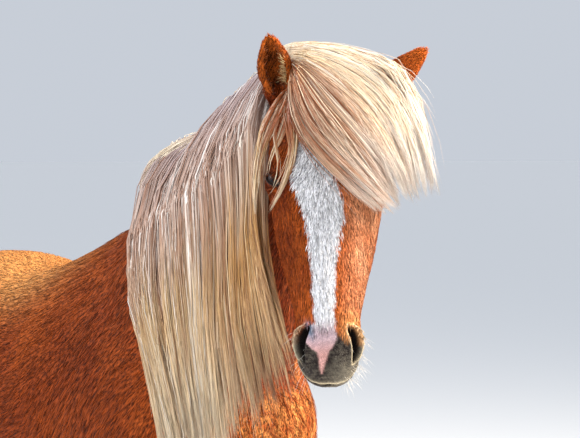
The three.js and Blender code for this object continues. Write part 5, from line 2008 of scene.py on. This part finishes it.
print("stage: materials")


def addNode(material, kind, links=(), **settings):  # in0, in1 and so on fill the node's sockets by number
    tree = material.node_tree
    node = tree.nodes.new(kind)
    for key, value in settings.items():
        if key.startswith("in"):
            node.inputs[int(key[2:])].default_value = value
        else:
            setattr(node, key, value)
    for source, output, socket in links:
        tree.links.new(source.outputs[output], node.inputs[socket])
    return node


def finishMaterial(material, pieces, values=(), nodes=()):  # values and nodes for the shader's sockets
    tree = material.node_tree
    shader = tree.nodes["Principled BSDF"]
    for socket, value in dict(values).items():
        shader.inputs[socket].default_value = value
    for socket, node in dict(nodes).items():
        tree.links.new(node.outputs[0], shader.inputs[socket])
    for piece in pieces:
        piece.data.materials.clear()
        piece.data.materials.append(material)


def newMaterial(name):
    material = bpy.data.materials.new(name)
    material.use_nodes = True
    return material


# Hair, combed and dry: a soft gloss along the long hair, almost none on the short coat. Every strand
# stands for a few hairs, so fine streaks run along it, in its own patch of the unwrap
strandFinishes = {  # streaks: how many cross a strand's three sides
    "longHair": {"streaks": 16, "roughness": 0.42, "specular": 0.4},
    "shortFur": {"streaks": 11, "roughness": 0.6, "specular": 0.05},
}


def strandMaterial(name, pieces):
    finish = strandFinishes[name]
    material = newMaterial(name)
    tint = addNode(material, "ShaderNodeAttribute", attribute_name="tint")
    unwrap = addNode(material, "ShaderNodeUVMap", uv_map="OFBake")
    along = addNode(material, "ShaderNodeMapping", [(unwrap, 0, "Vector")])
    along.inputs["Scale"].default_value = (finish["streaks"] / unwrapPatch, 1.6 / unwrapPatch, 1)
    hairs = addNode(material, "ShaderNodeTexNoise", [(along, 0, "Vector")], in2=1.0, in3=1.0)
    shades = {"in1": 0.3, "in2": 0.7, "in3": 0.68, "in4": 1.3}
    shade = addNode(material, "ShaderNodeMapRange", [(hairs, 0, "Value")], **shades)
    factors = [(tint, "Color", 0), (shade, 0, "Scale")]
    colour = addNode(material, "ShaderNodeVectorMath", factors, operation="SCALE")
    relief = addNode(material, "ShaderNodeBump", [(hairs, 0, "Height")], in0=0.5, in1=0.0004)
    values = {"Roughness": finish["roughness"], "Specular IOR Level": finish["specular"]}
    finishMaterial(material, pieces, values, {"Base Color": colour, "Normal": relief})


strandMaterial("longHair", [piece for name, piece in strandPieces.items() if not name.startswith("fur_")])
strandMaterial("shortFur", [piece for name, piece in strandPieces.items() if name.startswith("fur_")])

# Skin under the fur: dull streaks about 30 mm long and 3 mm wide along the lie of the coat, coarser than
# hairs so that they show, and on the bare muzzle a slight shine on leathery grain about 2 mm across
skinFinish = {
    "streakLength": 0.05,
    "streakWidth": 0.005,
    "bodyStreaks": 0.62,
    "fineStreaks": 0.55,
    "shoulderLie": (0.8, 0.62),  # fall and run of the lie
    "trunkLie": (0.42, 1),
    "legLie": 84,  # degrees
    "grain": 520.0,  # cells to the metre
    "relief": 0.0025,
}


def skinMaterial():
    material = newMaterial("furredSkin")

    def add(kind, links=(), **settings):
        return addNode(material, kind, links, **settings)

    tint = add("ShaderNodeAttribute", attribute_name="tint")
    zone = add("ShaderNodeAttribute", attribute_name="zone")
    place = add("ShaderNodeTexCoord")
    shares = add("ShaderNodeSeparateXYZ", [(zone, "Vector", "Vector")])
    bare = (tint, "Alpha")

    def streaks(turn, size):
        lie = add("ShaderNodeMapping", [(place, "Object", "Vector")], vector_type="TEXTURE")
        lie.inputs["Rotation"].default_value = turn
        width = skinFinish["streakWidth"] * size
        lie.inputs["Scale"].default_value = (skinFinish["streakLength"] * size, width, width)
        return add("ShaderNodeTexNoise", [(lie, 0, "Vector")], in2=1.0, in3=2.0, in4=0.55)

    def blend(source, output, first, second):
        return add("ShaderNodeMix", [(source, output, "Factor"), (first, 0, "A"), (second, 0, "B")])

    body, fineSize = skinFinish["bodyStreaks"], skinFinish["fineStreaks"]
    coat = blend(
        shares, 2,
        streaks((0, -math.atan2(*skinFinish["trunkLie"]), 0), body),
        streaks((0, -math.atan2(*skinFinish["shoulderLie"]), 0), body),
    )
    coat = blend(shares, 0, coat, streaks((0, -math.radians(skinFinish["legLie"]), 0), fineSize))
    faceTurn = Vector(faceDown).to_track_quat("X", "Z").to_euler()
    coat = blend(shares, 1, coat, streaks(tuple(faceTurn), fineSize))
    leather = add("ShaderNodeTexVoronoi", [(place, "Object", "Vector")], in2=skinFinish["grain"])
    relief = blend(*bare, coat, leather)
    relief = add("ShaderNodeBump", [(relief, 0, "Height")], in0=0.8, in1=skinFinish["relief"])
    coatShade = add("ShaderNodeMapRange", [(coat, 0, "Value")], in1=0.36, in2=0.64, in3=0.25, in4=1.75)
    bareShade = add("ShaderNodeMapRange", [(leather, 0, "Value")], in1=0.0, in2=0.7, in3=0.86, in4=1.2)
    shade = blend(*bare, coatShade, bareShade)
    colour = add("ShaderNodeVectorMath", [(tint, "Color", 0), (shade, 0, "Scale")], operation="SCALE")
    roughness = add("ShaderNodeMapRange", [(*bare, "Value")], in3=0.8, in4=0.42)
    nodes = {"Base Color": colour, "Normal": relief, "Roughness": roughness}
    finishMaterial(material, [skin], {"Specular IOR Level": 0.1}, nodes)


skinMaterial()

# Wet eye: a dark ball under a clear film, whose sharp glint makes it look moist
eyeFinish = {
    "Roughness": 0.35,
    "Specular IOR Level": 0.2,
    "Coat Weight": 0.3,
    "Coat Roughness": 0.03,
    "Coat IOR": 1.38,
}
eyeMaterial = newMaterial("wetEye")
tint = addNode(eyeMaterial, "ShaderNodeAttribute", attribute_name="tint")
finishMaterial(eyeMaterial, eyeBalls, eyeFinish, {"Base Color": tint})

# Hoof horn, worn and dull: streaks about 3 mm wide run down it from the hairline
hornFinish = {
    "dark": "#5B4C3D",
    "pale": "#93826A",
    "streaks": (300, 300, 22),  # to the metre, round the hoof and down it
    "relief": 0.001,
    "roughness": 0.5,
}


def hornMaterial():
    material = newMaterial("hoofHorn")
    place = addNode(material, "ShaderNodeTexCoord")
    stretch = addNode(material, "ShaderNodeMapping", [(place, "Object", "Vector")])
    stretch.inputs["Scale"].default_value = hornFinish["streaks"]
    streaks = addNode(material, "ShaderNodeTexNoise", [(stretch, 0, "Vector")], in2=1.0, in3=4.0)
    ramp = addNode(material, "ShaderNodeValToRGB", [(streaks, 0, "Fac")])
    for element, position, key in zip(ramp.color_ramp.elements, (0.35, 0.68), ("dark", "pale")):
        element.position = position
        element.color = shaderColour(hornFinish[key])
    depth = hornFinish["relief"]
    relief = addNode(material, "ShaderNodeBump", [(streaks, 0, "Height")], in0=0.35, in1=depth)
    nodes = {"Base Color": ramp, "Normal": relief}
    finishMaterial(material, hooves, {"Roughness": hornFinish["roughness"]}, nodes)


hornMaterial()

# Pale matt floor with a slight glow, so that it meets the sky softly
floorFinish = {
    "Base Color": shaderColour(studio["floor"]),
    "Emission Color": shaderColour(studio["sky"]),
    "Emission Strength": studio["floorGlow"],
    "Roughness": 0.7,
}
finishMaterial(newMaterial("paleFloor"), [floor], floorFinish)

bpy.context.scene.view_settings.view_transform = "Standard"  # plain colours, as on a print
